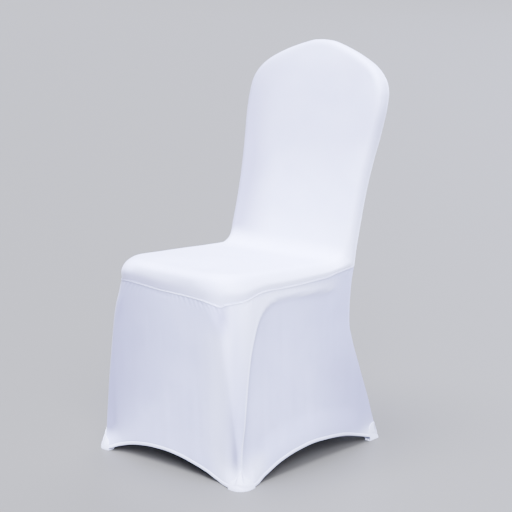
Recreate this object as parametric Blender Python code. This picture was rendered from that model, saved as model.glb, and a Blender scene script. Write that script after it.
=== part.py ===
"""Fitted stretch cover for a banquet chair, as it hangs over the chair.

Three knit panels and four foot pockets, each one closed thin shell. The front panel
covers the seat top and the inside of the back, the back panel falls from the crown to
the floor, and the skirt goes round the front and both sides. +Z is up, the front faces
-Y, and the origin is on the floor under the middle.
"""
import math

import bmesh
import bpy
import numpy as np

# Cloth and seams, metres
CLOTH = 0.0012
HEM_CLOTH = 0.0022
SEAM_INSET = 0.0002
SEAM_RISE = 0.0008

# Seat seam: a rounded rectangle that is open at the rear
SEAT_HALF_WIDTH = 0.192
SEAT_FRONT = -0.234
SEAT_CORNER = 0.075
SEAT_SEAM_REAR = 0.181
SEAM_JOIN_HALF_WIDTH = 0.1925
SEAM_JOIN_HEIGHT = 0.434
LAP_RUN = 0.066

# Cushion edge above the seat seam, and the rolled edge round the back
SEAT_ROLL = 0.025
BACK_ROLL = 0.013
BACK_THICKNESS = 0.032
ROLL_UNDERCUT = math.radians(25)

# Middle line of the seat top and of the back's face
SEAT_TOP_FRONT = 0.4635
SEAT_TOP_FALL = 0.036
BACK_LEAN = 0.257
LAP_RADIUS = 0.042
OUTSIDE_BACK_CROWN = 0.003
LEAST_HALF_WIDTH = 0.02

# Rise of the filled faces, and how far from their ends it fades
SEAT_CROWN = 0.008
BACK_CROWN = 0.006
SEAT_CROWN_FADE = 0.10
BACK_CROWN_FADE = 0.12
BACK_CROWN_END = 0.46

# The back grows thinner towards its crown
CROWN_TAPER = 0.010
CROWN_TAPER_FROM = 0.83
CROWN_TAPER_TO = 0.95

# Lengths along the back's rear edge where its side, shoulder and crown begin
BACK_STARTS = (0, 0.060, 0.390, 0.500)

# Skirt at the feet
FOOT_HALF_WIDTH = 0.221
SKIRT_CLEAR = 0.0019
FOOT_FLARE = 0.012
FLARE_HEIGHT = 0.045
FLARE_FROM = 0.015
FLARE_TO = 0.080
SIDE_HOLLOW = 0.0040
CREASE_DROP = 0.0018
CREASE_WIDTH = 0.006
HOLLOW_WIDTH = 0.030
FRONT_HOLLOW = 0.004

# Foot pockets
POCKET_GAP = 0.0006
POCKET_ROWS = (0.905, 0.95, 0.98, 1)
POCKET_LIP = 0.012
POCKET_DEPTH = 0.009
LIP_FROM = 0.16

# Middle of the depth, between the front feet and the crown's rear
MIDDLE = 0.0305

# Steps along half of the panels' outline, from the front's middle to the crown's
FRONT_STEPS = 9
CORNER_STEPS = 6
SIDE_STEPS = 9
LAP_STEPS = 6
BACK_STEPS = 8
SHOULDER_STEPS = 6
CROWN_STEPS = 9
ROLL_STEPS = 4

SKIRT_CORNER = FRONT_STEPS + CORNER_STEPS // 2
SKIRT_SIDE = FRONT_STEPS + CORNER_STEPS
LAP_START = SKIRT_SIDE + SIDE_STEPS
JOIN = LAP_START + LAP_STEPS // 2
LAP_END = LAP_START + LAP_STEPS
SHOULDER_START = LAP_END + BACK_STEPS
SHOULDER = SHOULDER_START + SHOULDER_STEPS // 2
SHOULDER_END = SHOULDER_START + SHOULDER_STEPS
CROWN = SHOULDER_END + CROWN_STEPS


class Table:
    """Rows of named columns, read in between by a smooth curve without overshoot."""

    def __init__(self, names, *rows):
        self.column = dict(zip(names.split(), np.array(rows, float).T))
        self.key = names.split()[0]

    def read(self, name, at):
        return smooth(self.column[self.key], self.column[name], at)


def smooth(xs, ys, at):
    """Monotone cubic curve through (xs, ys), where xs rises, read at the values at."""
    step = np.diff(xs)
    slope = np.diff(ys) / step
    before, after = slope[:-1], slope[1:]
    same_way = before * after > 0
    total = np.where(same_way, before + after, 1.0)
    inner = np.where(same_way, 2 * before * after / total, 0.0)
    tangent = np.concatenate([slope[:1], inner, slope[-1:]])
    at = np.clip(at, xs[0], xs[-1])
    k = np.clip(np.searchsorted(xs, at, side="right") - 1, 0, len(step) - 1)
    t = (at - xs[k]) / step[k]
    rise = t * t * (3 - 2 * t)
    leave = t * (1 - t) ** 2
    arrive = t * t * (t - 1)
    return ys[k] + (ys[k + 1] - ys[k]) * rise + step[k] * (tangent[k] * leave + tangent[k + 1] * arrive)


def ramp(value, start, end):
    """0 up to start, 1 from end, smooth between."""
    t = np.clip((value - start) / (end - start), 0, 1)
    return t * t * (3 - 2 * t)


def unit(vectors):
    vectors = np.asarray(vectors, float)
    return vectors / np.linalg.norm(vectors, axis=-1, keepdims=True)


# Height of the seat seam, by the distance along it from the middle of the front
SEAT_SEAM = Table(
    "along height",
    (-0.575, 0.434), (-0.537, 0.429), (-0.484, 0.421), (-0.400, 0.419), (-0.265, 0.418),
    (-0.200, 0.413), (-0.170, 0.411), (-0.135, 0.416), (-0.115, 0.417), (-0.095, 0.416),
    (-0.055, 0.4135), (-0.015, 0.4113), (0.030, 0.4108), (0.080, 0.4093), (0.110, 0.4075),
    (0.130, 0.4047), (0.145, 0.4010), (0.160, 0.3975), (0.170, 0.4015), (0.190, 0.4050),
    (0.210, 0.4075), (0.230, 0.4120), (0.250, 0.4170), (0.270, 0.4203), (0.290, 0.4210),
    (0.330, 0.4195), (0.390, 0.4188), (0.450, 0.4200), (0.484, 0.4215), (0.510, 0.4258),
    (0.540, 0.4300), (0.575, 0.4340),
)

# Rear edge of the back, from the seat seam up to the crown
BACK_OUTLINE = Table(
    "row half_width height",
    (0, 0.1925, 0.4340), (1, 0.1905, 0.4750), (2, 0.1900, 0.5400), (3, 0.1910, 0.6000),
    (4, 0.1955, 0.6600), (5, 0.2045, 0.7300), (6, 0.2095, 0.7900), (7, 0.2080, 0.8200),
    (8, 0.2010, 0.8440), (9, 0.1865, 0.8650), (10, 0.1660, 0.8830), (11, 0.1280, 0.9030),
    (12, 0.0890, 0.9185), (13, 0.0550, 0.9295), (14, 0.0240, 0.9370), (15, 0.0000, 0.9385),
)

# Rear edge of the sides, by the share of the way down from the seat seam to the foot
LEG_SEAM = Table(
    "down half_width depth",
    (0.00, 0.1925, 0.181), (0.08, 0.193, 0.172), (0.20, 0.194, 0.165), (0.30, 0.195, 0.163),
    (0.40, 0.196, 0.173), (0.55, 0.197, 0.197), (0.78, 0.198, 0.2358), (0.86, 0.198, 0.2486),
    (0.93, 0.198, 0.2598), (1.00, 0.198, 0.2710),
)

# Skirt's front corner, by the share of the way down
SKIRT_FRONT_CORNER = Table(
    "down half_width depth front_radius side_radius",
    (0.00, 0.1920, -0.2340, 0.0750, 0.0750), (0.07, 0.1970, -0.2338, 0.0600, 0.0720),
    (0.15, 0.2005, -0.2333, 0.0420, 0.0670), (0.25, 0.2035, -0.2328, 0.0320, 0.0580),
    (0.50, 0.2105, -0.2305, 0.0200, 0.0360), (0.75, 0.2175, -0.2285, 0.0110, 0.0160),
    (0.90, 0.2210, -0.2275, 0.0080, 0.0100), (1.00, 0.2235, -0.2275, 0.0120, 0.0140),
)

# Crease over the chair's seat rail and down its front leg, in the side's plane
CREASE = Table(
    "row depth height",
    (0, 0.150, 0.389), (1, 0.070, 0.390), (2, 0.007, 0.394), (3, -0.050, 0.3965), (4, -0.080, 0.3965),
    (5, -0.103, 0.392), (6, -0.124, 0.382), (7, -0.143, 0.364), (8, -0.157, 0.338), (9, -0.169, 0.307),
    (10, -0.180, 0.270), (11, -0.194, 0.202), (12, -0.206, 0.134), (13, -0.216, 0.089), (14, -0.223, 0.047),
    (15, -0.228, 0.010),
)

# Hem arches, by the place across or along as a share from -1 to 1
FRONT_HEM = Table(
    "place height",
    (-1.00, 0.000), (-0.92, 0.001), (-0.77, 0.013), (-0.52, 0.027), (-0.28, 0.033),
    (-0.10, 0.034), (0.10, 0.031), (0.31, 0.024), (0.54, 0.013), (0.65, 0.005),
    (0.76, 0.000), (1.00, 0.000),
)
RIGHT_HEM = Table(
    "place height",
    (-1.00, 0.000), (-0.85, 0.000), (-0.73, 0.010), (-0.51, 0.029), (-0.28, 0.040),
    (0.00, 0.045), (0.20, 0.042), (0.45, 0.035), (0.71, 0.019), (0.90, 0.005),
    (1.00, 0.000),
)
LEFT_HEM = Table(
    "place height",
    (-1.00, 0.000), (-0.80, 0.006), (-0.50, 0.028), (-0.20, 0.042), (0.05, 0.046),
    (0.35, 0.041), (0.64, 0.026), (0.86, 0.007), (1.00, 0.000),
)
REAR_HEM = Table(
    "place height",
    (-1.00, 0.000), (-0.84, 0.006), (-0.50, 0.027), (-0.10, 0.036), (0.15, 0.035),
    (0.55, 0.023), (0.84, 0.005), (1.00, 0.000),
)

# How far the back panel stands off the line between the rear legs, by its height
REAR_BRIDGE = Table(
    "height out",
    (0.00, 0.000), (0.055, 0.000), (0.14, 0.012), (0.22, 0.021), (0.30, 0.026),
    (0.37, 0.018), (0.434, 0.006), (0.50, OUTSIDE_BACK_CROWN), (0.95, OUTSIDE_BACK_CROWN),
)

# Rows down the skirt, as shares of the way from the seam to the hem
SKIRT_ROWS = np.array([0, 0.025, 0.05, 0.08, 0.115, 0.155, 0.21, 0.28, 0.37, 0.48, 0.60, 0.72, 0.82, 0.905,
                       0.95, 0.98, 1])

# Steps across the front and along the side, closer together near the feet
FRONT_SPREAD = (0, 0.13, 0.26, 0.39, 0.52, 0.64, 0.75, 0.85, 0.93, 1)
SIDE_SPREAD = (0, 0.05, 0.12, 0.20, 0.30, 0.42, 0.56, 0.70, 0.85, 1)

BACK_ANGLE = math.atan(BACK_LEAN)
UP_BACK = np.array([0, math.sin(BACK_ANGLE), math.cos(BACK_ANGLE)])
OUT_OF_BACK = np.array([0, -math.cos(BACK_ANGLE), math.sin(BACK_ANGLE)])


def rear_plane(height):
    """Depth of the back's rear plane at a height."""
    taper = CROWN_TAPER * ramp(height, CROWN_TAPER_FROM, CROWN_TAPER_TO)
    return SEAT_SEAM_REAR + BACK_LEAN * (height - SEAM_JOIN_HEIGHT) - taper


def seat_seam_plan(step):
    """Plan point and outward normal of the seat seam at a step, and its distance along."""
    straight = SEAT_HALF_WIDTH - SEAT_CORNER
    arc = SEAT_CORNER * math.pi / 2
    side_start = SEAT_FRONT + SEAT_CORNER
    if step <= FRONT_STEPS:
        along = straight * FRONT_SPREAD[step]
        return (along, SEAT_FRONT), (0, -1), along
    if step <= SKIRT_SIDE:
        turn = math.pi / 2 * (step - FRONT_STEPS) / CORNER_STEPS
        normal = (math.sin(turn), -math.cos(turn))
        place = (straight + SEAT_CORNER * normal[0], side_start + SEAT_CORNER * normal[1])
        return place, normal, straight + SEAT_CORNER * turn
    lap = SEAT_SEAM_REAR - LAP_RUN
    if step <= LAP_START:
        run = (lap - side_start) * SIDE_SPREAD[step - SKIRT_SIDE]
    else:
        run = lap - side_start + (SEAT_SEAM_REAR - lap) * (step - LAP_START) / (JOIN - LAP_START)
    share = run / (SEAT_SEAM_REAR - side_start)
    half_width = SEAT_HALF_WIDTH + (SEAM_JOIN_HALF_WIDTH - SEAT_HALF_WIDTH) * share ** 2
    return (half_width, side_start + run), (1, 0), straight + arc + run


def back_outline(step):
    """Point of the back's rear edge at a step from the seam join to the crown's middle."""
    fine = np.linspace(0, 15, 400)
    points = np.stack([BACK_OUTLINE.read("half_width", fine), BACK_OUTLINE.read("height", fine)], -1)
    length = np.concatenate([[0], np.cumsum(np.linalg.norm(np.diff(points, axis=0), axis=1))])
    stations = np.array([JOIN, LAP_END, SHOULDER_START, SHOULDER_END, CROWN])
    reached = np.array([*BACK_STARTS, length[-1]])
    at = np.interp(step, stations, reached)
    half_width = np.interp(at, length, points[:, 0])
    height = np.interp(at, length, points[:, 1])
    return np.array([half_width, rear_plane(height), height])


def seam_loop():
    """Right half of the front panel's seam: points, outward normals and seam normals."""
    points, outward, seam = [], [], []
    rear = -OUT_OF_BACK
    for step in range(CROWN + 1):
        if step < JOIN:
            place, normal, along = seat_seam_plan(step)
            points.append((*place, SEAT_SEAM.read("height", along)))
            outward.append((*normal, 0))
            turn = ramp(step, LAP_START, JOIN)
            seam.append(np.array(outward[-1]) + rear * turn)
        else:
            points.append(back_outline(step))
            ahead, behind = back_outline(min(step + 0.5, CROWN)), back_outline(max(step - 0.5, JOIN))
            normal = np.cross(rear, ahead - behind)
            if step == CROWN:
                normal = UP_BACK
            outward.append(unit(normal))
            seam.append(outward[-1] + rear)
    return np.array(points), unit(outward), unit(seam)


def middle_line(along):
    """Seat top and back face on the middle plane: points and normals by the length along."""
    fall = SEAT_TOP_FALL
    start = np.array([SEAT_FRONT + SEAT_ROLL, SEAT_TOP_FRONT])
    seat = unit([1, -fall])
    back = UP_BACK[1:]
    face = np.array([SEAT_SEAM_REAR, SEAM_JOIN_HEIGHT]) + OUT_OF_BACK[1:] * BACK_THICKNESS
    meet = np.linalg.solve(np.stack([seat, -back], 1), face - start)
    corner = start + seat * meet[0]
    turn = math.acos(float(seat @ back))
    reach = LAP_RADIUS * math.tan(turn / 2)
    flat = meet[0] - reach
    arc = LAP_RADIUS * turn
    centre = start + seat * flat + np.array([-seat[1], seat[0]]) * LAP_RADIUS
    along = np.asarray(along, float)
    angle = np.clip((along - flat) / LAP_RADIUS, 0, turn)
    first = math.atan2(seat[1], seat[0])
    normal = np.stack([-np.sin(first + angle), np.cos(first + angle)], -1)
    point = centre - normal * LAP_RADIUS
    point = point + seat * np.minimum(along - flat, 0)[..., None]
    point = point + back * np.maximum(along - flat - arc, 0)[..., None]
    base = corner + back * reach
    return point, normal, flat, flat + arc, base


def roll_edge(points, outward):
    """Where the rolled edge ends, as place across and length along the middle line."""
    _, _, lap_from, lap_to, base = middle_line(0.0)
    across, along = np.zeros(CROWN + 1), np.zeros(CROWN + 1)
    lean = math.hypot(1, SEAT_TOP_FALL)
    for step in range(CROWN + 1):
        if step <= LAP_START:
            place = points[step, :2] - outward[step, :2] * SEAT_ROLL
            across[step] = place[0]
            along[step] = (place[1] - SEAT_FRONT - SEAT_ROLL) * lean
        if step >= LAP_END:
            place = points[step] - outward[step] * BACK_ROLL + OUT_OF_BACK * BACK_THICKNESS
            across[step] = place[0]
            along[step] = lap_to + (place[1:] - base) @ UP_BACK[1:]
    steps = np.arange(LAP_START, LAP_END + 1)
    share = (steps - LAP_START) / LAP_STEPS
    across[steps] = across[LAP_START] + (across[LAP_END] - across[LAP_START]) * ramp(share, 0, 1)
    along[steps] = along[LAP_START] + (along[LAP_END] - along[LAP_START]) * share
    return across, along


def raise_face(across, along):
    """Point of the seat top or back face, with the fill's crown."""
    line, normal, lap_from, lap_to, _ = middle_line(along)
    side = np.clip(1 - (across / (SEAT_HALF_WIDTH - SEAT_ROLL)) ** 2, 0, 1) ** 1.5
    on_seat = ramp(along, 0, SEAT_CROWN_FADE) * ramp(lap_from - along, 0, SEAT_CROWN_FADE)
    up = along - lap_to
    on_back = ramp(up, 0, BACK_CROWN_FADE) * ramp(BACK_CROWN_END - up, 0, BACK_CROWN_FADE)
    lift = side * (SEAT_CROWN * on_seat + BACK_CROWN * on_back)
    line = line + normal * lift[..., None]
    return np.concatenate([across[..., None], line], -1)


def coons(bottom, top, left, right):
    """Grid of points that fills four edges which meet at their ends."""
    u = np.linspace(0, 1, len(bottom))[None, :, None]
    v = np.linspace(0, 1, len(left))[:, None, None]
    ruled = (1 - v) * bottom[None] + v * top[None] + (1 - u) * left[:, None] + u * right[:, None]
    ends = (1 - u) * ((1 - v) * bottom[0] + v * top[0]) + u * ((1 - v) * bottom[-1] + v * top[-1])
    return ruled - ends


def mirror_x(points):
    return points * np.array([-1] + [1] * (points.shape[-1] - 1))


def both_sides(half):
    """A half outline from the middle outwards, made whole from left to right."""
    return np.concatenate([mirror_x(half[:0:-1]), half])


def front_panel_mesh():
    """Seat top and inside back: a rolled edge all round and the face within it."""
    points, outward, seam = seam_loop()
    left_points = mirror_x(points)
    for step in range(JOIN):
        left_points[step, 2] = SEAT_SEAM.read("height", -seat_seam_plan(step)[2])
    across, along = roll_edge(points, outward)
    edge = np.stack([across, along], -1)

    def ring(right, left):
        return np.concatenate([right, left[-2:0:-1]])

    start = ring(points, left_points)
    side = ring(outward, mirror_x(outward))
    pull = ring(seam, mirror_x(seam))
    reach = raise_face(ring(across, -across), ring(along, along)) - start
    out = (reach * side).sum(-1, keepdims=True) * side
    low = 1 - math.cos(ROLL_UNDERCUT)
    rows = []
    for angle in np.linspace(-ROLL_UNDERCUT, math.pi / 2, ROLL_STEPS + 1):
        rise = (math.sin(angle) + math.sin(ROLL_UNDERCUT)) / (1 + math.sin(ROLL_UNDERCUT))
        inward = (1 - math.cos(angle) - low) / (1 - low)
        rows.append(start + (reach - out) * rise + out * inward)
    rows = np.array(rows)
    rows[0] = draw_in(rows[0], rows[1], pull, closed=True)

    mesh = Sheet()
    band = mesh.add_rows(rows, closed=True)
    count = rows.shape[1]
    bottom = both_sides(edge[: SKIRT_CORNER + 1])
    top = both_sides(edge[CROWN : SHOULDER - 1 : -1])
    right = edge[SKIRT_CORNER : SHOULDER + 1]
    flat = coons(bottom, top, mirror_x(right), right)
    face = raise_face(flat[..., 0], flat[..., 1])
    index = -np.ones(face.shape[:2], int)
    half = SKIRT_CORNER
    for i in range(-half, half + 1):
        index[0, i + half] = band[-1][i % count]
        index[-1, i + half] = band[-1][CROWN - i]
    for j in range(len(right)):
        index[j, -1] = band[-1][SKIRT_CORNER + j]
        index[j, 0] = band[-1][(-SKIRT_CORNER - j) % count]
    mesh.add_grid(face, index)
    mesh.pull = {band[0][k]: pull[k] for k in range(count)}
    return mesh


def draw_in(edge, inner, seam, closed=False):
    """Edge points moved off the seam into their own panel and up onto the seam's ridge."""
    if closed:
        tangent = unit(np.roll(edge, -1, 0) - np.roll(edge, 1, 0))
    else:
        tangent = unit(np.gradient(edge, axis=0))
    way = inner - edge
    way = way - (way * seam).sum(-1, keepdims=True) * seam
    way = way - (way * tangent).sum(-1, keepdims=True) * tangent
    return edge + unit(way) * SEAM_INSET + seam * SEAM_RISE


class Sheet:
    """Points and quads of one sheet, later thickened into a closed shell."""

    def __init__(self):
        self.points = []
        self.quads = []
        self.pull = {}
        self.thick = {}

    def add_rows(self, rows, closed=False, flip=False):
        index = np.arange(rows.shape[0] * rows.shape[1]).reshape(rows.shape[:2]) + len(self.points)
        self.points.extend(rows.reshape(-1, 3))
        self.join(index[::-1] if flip else index, closed)
        return index

    def add_grid(self, grid, index):
        for j, i in zip(*np.where(index < 0)):
            index[j, i] = len(self.points)
            self.points.append(grid[j, i])
        self.join(index)
        return index

    def join(self, index, closed=False):
        rows, columns = index.shape
        for j in range(rows - 1):
            for i in range(columns if closed else columns - 1):
                n = (i + 1) % columns
                self.quads.append((index[j, i], index[j, n], index[j + 1, n], index[j + 1, i]))


def sheet_normals(points, quads):
    """Unit normals at the points, from the quads around them."""
    a, b, c, d = (points[quads[:, k]] for k in range(4))
    area = np.cross(c - a, d - b)
    normals = np.zeros_like(points)
    for k in range(4):
        np.add.at(normals, quads[:, k], area)
    return unit(normals)


def border_edges(quads):
    """Directed edges that only one quad uses."""
    seen = {}
    for quad in quads:
        for k in range(4):
            edge = (quad[k], quad[(k + 1) % 4])
            seen[edge] = True
    return [edge for edge in seen if (edge[1], edge[0]) not in seen]


def thicken(name, sheet, material):
    """Object with the sheet as its outer face and the cloth's thickness inside."""
    points = np.array(sheet.points)
    quads = np.array(sheet.quads)
    normals = sheet_normals(points, quads)
    for k, direction in sheet.pull.items():
        normals[k] = direction
    depth = np.full(len(points), CLOTH)
    for k, value in sheet.thick.items():
        depth[k] = value
    inner = points - normals * depth[:, None]
    count = len(points)
    faces = [tuple(int(k) for k in quad) for quad in quads]
    faces += [tuple(int(k) + count for k in quad[::-1]) for quad in quads]
    faces += [(int(b), int(a), int(a) + count, int(b) + count) for a, b in border_edges(sheet.quads)]
    return add_object(name, np.concatenate([points, inner]), faces, material)


def add_object(name, points, faces, material):
    shift = np.array([0, -MIDDLE, 0])
    mesh = bpy.data.meshes.new(name)
    mesh.from_pydata([tuple(p) for p in points + shift], [], faces)
    work = bmesh.new()
    work.from_mesh(mesh)
    bmesh.ops.triangulate(work, faces=work.faces)
    work.to_mesh(mesh)
    work.free()
    mesh.materials.append(material)
    mesh.shade_smooth()
    mesh.set_sharp_from_angle(angle=math.radians(50))
    obj = bpy.data.objects.new(name, mesh)
    bpy.context.scene.collection.objects.link(obj)
    return obj


def skirt_section(step, down, side):
    """Point of the skirt at a step from the front's middle; side is 1 right, -1 left."""
    corner = SKIRT_FRONT_CORNER
    half_width, front = corner.read("half_width", down), corner.read("depth", down)
    front_radius, side_radius = corner.read("front_radius", down), corner.read("side_radius", down)
    (_, seam_y), _, along = seat_seam_plan(step)
    seam_z = SEAT_SEAM.read("height", side * along)
    hem = 0.0
    if step <= FRONT_STEPS:
        share = FRONT_SPREAD[step]
        x = (half_width - front_radius) * share
        y = front + FRONT_HOLLOW * (1 - share ** 2) * ramp(down, 0.04, 0.5)
        hem = FRONT_HEM.read("height", side * x / FOOT_HALF_WIDTH)
        outward, reach = (0, -1), half_width - x
    elif step <= SKIRT_SIDE:
        turn = math.pi / 2 * (step - FRONT_STEPS) / CORNER_STEPS
        x = half_width - front_radius + front_radius * math.sin(turn)
        y = front + side_radius - side_radius * math.cos(turn)
        outward, reach = (math.sin(turn), -math.cos(turn)), 0.0
    else:
        start = SEAT_FRONT + SEAT_CORNER
        share = (seam_y - start) / (SEAT_SEAM_REAR - start)
        crease, rear = front + side_radius, LEG_SEAM.read("depth", down)
        y = crease + (rear - crease) * share
        x = half_width + (LEG_SEAM.read("half_width", down) - half_width) * share
        x = x - side_hollow(y, seam_z + (SKIRT_CLEAR - seam_z) * down, rear - y)
        table = RIGHT_HEM if side > 0 else LEFT_HEM
        hem = table.read("height", 2 * share - 1)
        outward, reach = (1, 0), y - front
    z = seam_z + (hem + SKIRT_CLEAR - seam_z) * down
    flare = FOOT_FLARE * (1 - ramp(z, 0, FLARE_HEIGHT)) * (1 - ramp(reach, FLARE_FROM, FLARE_TO))
    return np.array([side * (x + outward[0] * flare), y + outward[1] * flare, z])


def past_crease(depth, height):
    """Distance behind the front leg's crease or below the rail's, less than 0 outside it."""
    fine = np.linspace(0, 15, 121)
    line = np.stack([CREASE.read("depth", fine), CREASE.read("height", fine)], -1)
    heading = unit(np.gradient(line, axis=0))
    away = np.array([depth, height]) - line
    nearest = int(np.argmin((away ** 2).sum(-1)))
    return heading[nearest, 0] * away[nearest, 1] - heading[nearest, 1] * away[nearest, 0]


def side_hollow(depth, height, before_rear):
    """How far the side is drawn in between the front leg, the seat rail and the rear leg."""
    inside = max(past_crease(depth, height), 0.0)
    drop = CREASE_DROP * (1 - math.exp(-inside / CREASE_WIDTH))
    drop += SIDE_HOLLOW * (1 - math.exp(-inside / HOLLOW_WIDTH))
    fade = ramp(before_rear, 0, 0.12) * ramp(height, 0.020, 0.090)
    on_rail = 1 - ramp(depth, 0.06, 0.13) * ramp(height, 0.30, 0.36)
    return drop * fade * on_rail


def skirt_mesh():
    """Front and both sides in one cloth, from the seat seam to the hem."""
    points, _, seam = seam_loop()
    left_seam = mirror_x(seam)
    columns = list(range(-JOIN, JOIN + 1))
    grid = np.array([[skirt_section(abs(k), down, 1 if k >= 0 else -1) for k in columns]
                     for down in SKIRT_ROWS])
    pulls = np.array([seam[k] if k >= 0 else left_seam[-k] for k in columns])
    edge_pull = leg_seam_normals()
    top = draw_in(grid[0], grid[1], pulls)
    for column, inner, side in ((0, 1, -1), (-1, -2, 1)):
        pull = edge_pull * (side, 1, 1)
        moved = draw_in_leg(grid[:, column], grid[:, inner], pull)
        top[column] += moved[0] - grid[0, column] - pull[0] * SEAM_RISE
        grid[:, column] = moved
    grid[0] = top
    sheet = Sheet()
    index = sheet.add_rows(grid, flip=True)
    for i, pull in enumerate(pulls):
        sheet.pull[index[0, i]] = pull
    for j in range(len(SKIRT_ROWS)):
        sheet.pull[index[j, -1]] = edge_pull[j]
        sheet.pull[index[j, 0]] = edge_pull[j] * np.array([-1, 1, 1])
    for i in range(len(columns)):
        sheet.thick[index[-1, i]] = HEM_CLOTH
        sheet.thick[index[-2, i]] = HEM_CLOTH
    return sheet


def leg_seam_line():
    """Points of the right leg seam, from the seam join down to the foot."""
    return np.array([skirt_section(JOIN, down, 1) for down in SKIRT_ROWS])


def leg_seam_normals():
    """Outward directions halfway between the side and the outside back, down the leg seam."""
    line = leg_seam_line()
    down = np.gradient(line, axis=0)
    rear = unit(np.stack([np.zeros(len(line)), -down[:, 2], down[:, 1]], -1))
    normals = unit(rear + np.array([1, 0, 0]))
    normals[0] = seam_loop()[2][JOIN]
    return normals


def draw_in_leg(edge, inner, seam):
    """Like draw_in, with the ridge fading out above the foot pocket."""
    moved = draw_in(edge, inner, seam)
    fade = ramp(SKIRT_ROWS, 0.75, 0.86)
    return moved - seam * SEAM_RISE * fade[:, None]


def rear_depth(across, height):
    """Depth of the outside back's cloth at a place across and a height."""
    line = leg_seam_line()[::-1]
    leg = np.interp(height, line[:, 2], line[:, 1])
    width = np.interp(height, line[:, 2], line[:, 0])
    outline = np.array([back_outline(s) for s in np.linspace(JOIN, CROWN, 120)])
    above = height > SEAM_JOIN_HEIGHT
    edge = np.where(above, rear_plane(height), leg)
    half = np.where(above, np.interp(height, outline[:, 2], outline[:, 0]), width)
    half = np.maximum(half, LEAST_HALF_WIDTH)
    out = REAR_BRIDGE.read("out", height)
    inside = np.clip(1 - (across / half) ** 2, 0, 1)
    near_crown = ramp(outline[-1, 2] - height, 0, BACK_CROWN_FADE)
    return edge + out * inside * np.where(above, near_crown, 1)


def back_sides():
    """Right edge of the outside back, from the shoulder down to the foot, and its directions."""
    points, _, seam = seam_loop()
    right = np.concatenate([points[SHOULDER : JOIN - 1 : -1], leg_seam_line()[1:]])
    return right, np.concatenate([seam[SHOULDER : JOIN - 1 : -1], leg_seam_normals()[1:]])


def back_grid():
    """Outside back's points, from the crown down and from left to right."""
    points, _, _ = seam_loop()
    right, _ = back_sides()
    crown = both_sides(points[CROWN : SHOULDER - 1 : -1])
    spread = np.linspace(-1, 1, len(crown))
    foot = right[-1]
    hem_z = REAR_HEM.read("height", spread) + SKIRT_CLEAR
    hem = np.stack([spread * foot[0], np.full(len(spread), foot[1]), hem_z], -1)
    plan = [0, 2]
    grid = coons(crown[:, plan], hem[:, plan], mirror_x(right)[:, plan], right[:, plan])
    depth = rear_depth(grid[..., 0], grid[..., 1])
    grid = np.stack([grid[..., 0], depth, grid[..., 1]], -1)
    grid[:, 0], grid[:, -1], grid[0] = mirror_x(right), right, crown
    return grid


def back_panel_mesh():
    """Outside back, from the crown to the hem between the rear feet."""
    _, _, seam = seam_loop()
    right, right_pull = back_sides()
    crown_pull = both_sides(seam[CROWN : SHOULDER - 1 : -1])
    grid = back_grid()
    top = draw_in(grid[0], grid[1], crown_pull)
    ridge = np.ones(len(right))
    ridge[len(right) - len(SKIRT_ROWS):] = 1 - ramp(SKIRT_ROWS, 0.75, 0.86)
    for column, inner, side in ((0, 1, -1), (-1, -2, 1)):
        pull = right_pull * (side, 1, 1)
        moved = draw_in(grid[:, column], grid[:, inner], pull)
        grid[:, column] = moved - pull * (SEAM_RISE * (1 - ridge))[:, None]
    grid[0] = top
    sheet = Sheet()
    index = sheet.add_rows(grid)
    for i, pull in enumerate(crown_pull):
        sheet.pull[index[0, i]] = pull
    for j, pull in enumerate(right_pull):
        sheet.pull[index[j, -1]] = pull
        sheet.pull[index[j, 0]] = pull * (-1, 1, 1)
    for k in index[-2:].ravel():
        sheet.thick[k] = HEM_CLOTH
    return sheet


def front_foot_cloth(side):
    """Skirt's outer face round a front foot: rows from the pocket's top down to the hem."""
    steps = range(FRONT_STEPS - 1, SKIRT_SIDE + 2)
    return np.array([[skirt_section(step, down, side) for step in steps] for down in POCKET_ROWS])


def rear_foot_cloth(side):
    """Outer face round a rear foot, from the side over the leg seam to the outside back."""
    skirt = [[skirt_section(step, down, side) for step in (JOIN - 1, JOIN)] for down in POCKET_ROWS]
    back = back_grid()[-len(POCKET_ROWS):]
    back = back[:, -2:-4:-1] if side > 0 else back[:, 1:3]
    return np.concatenate([np.array(skirt), back], 1)


def grid_normals(grid, side):
    """Outward directions in plan at the points of a foot's cloth."""
    along = np.diff(grid[:, :, :2], axis=1)
    turned = unit(np.stack([along[..., 1], -along[..., 0]], -1)) * side
    before = np.concatenate([turned[:, :1], turned], 1)
    after = np.concatenate([turned, turned[:, -1:]], 1)
    mean = unit(before + after)
    stretch = 1 / (mean * before).sum(-1, keepdims=True)
    return np.concatenate([mean * stretch, np.zeros(mean.shape[:2] + (1,))], -1)


def pocket_points(cloth, side):
    """Foot pocket's outer and inner faces: a wall round the corner, a sole and a low lip."""
    cloth = np.concatenate([cloth, cloth[-1:]])
    away = grid_normals(cloth, side)
    outer = cloth + away * (POCKET_GAP + CLOTH)
    inner = cloth + away * POCKET_GAP
    outer[-1, :, 2] = 0
    inner[-1, :, 2] = CLOTH
    first, last = cloth[-1, 0], cloth[-1, -1]
    share = np.linspace(LIP_FROM, 1 - LIP_FROM, cloth.shape[1])[:, None]
    inward = unit(-(first + last) * (1, 1, 0))
    lip = (first + (last - first) * share) * (1, 1, 0) + inward * POCKET_DEPTH
    up = np.array([0, 0, 1])
    sole_and_lip = np.array([lip, lip + up * POCKET_LIP])
    lip_inner = np.array([lip + up * CLOTH, lip + up * POCKET_LIP]) - inward * CLOTH
    return np.concatenate([outer, sole_and_lip]), np.concatenate([inner, lip_inner])


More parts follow.
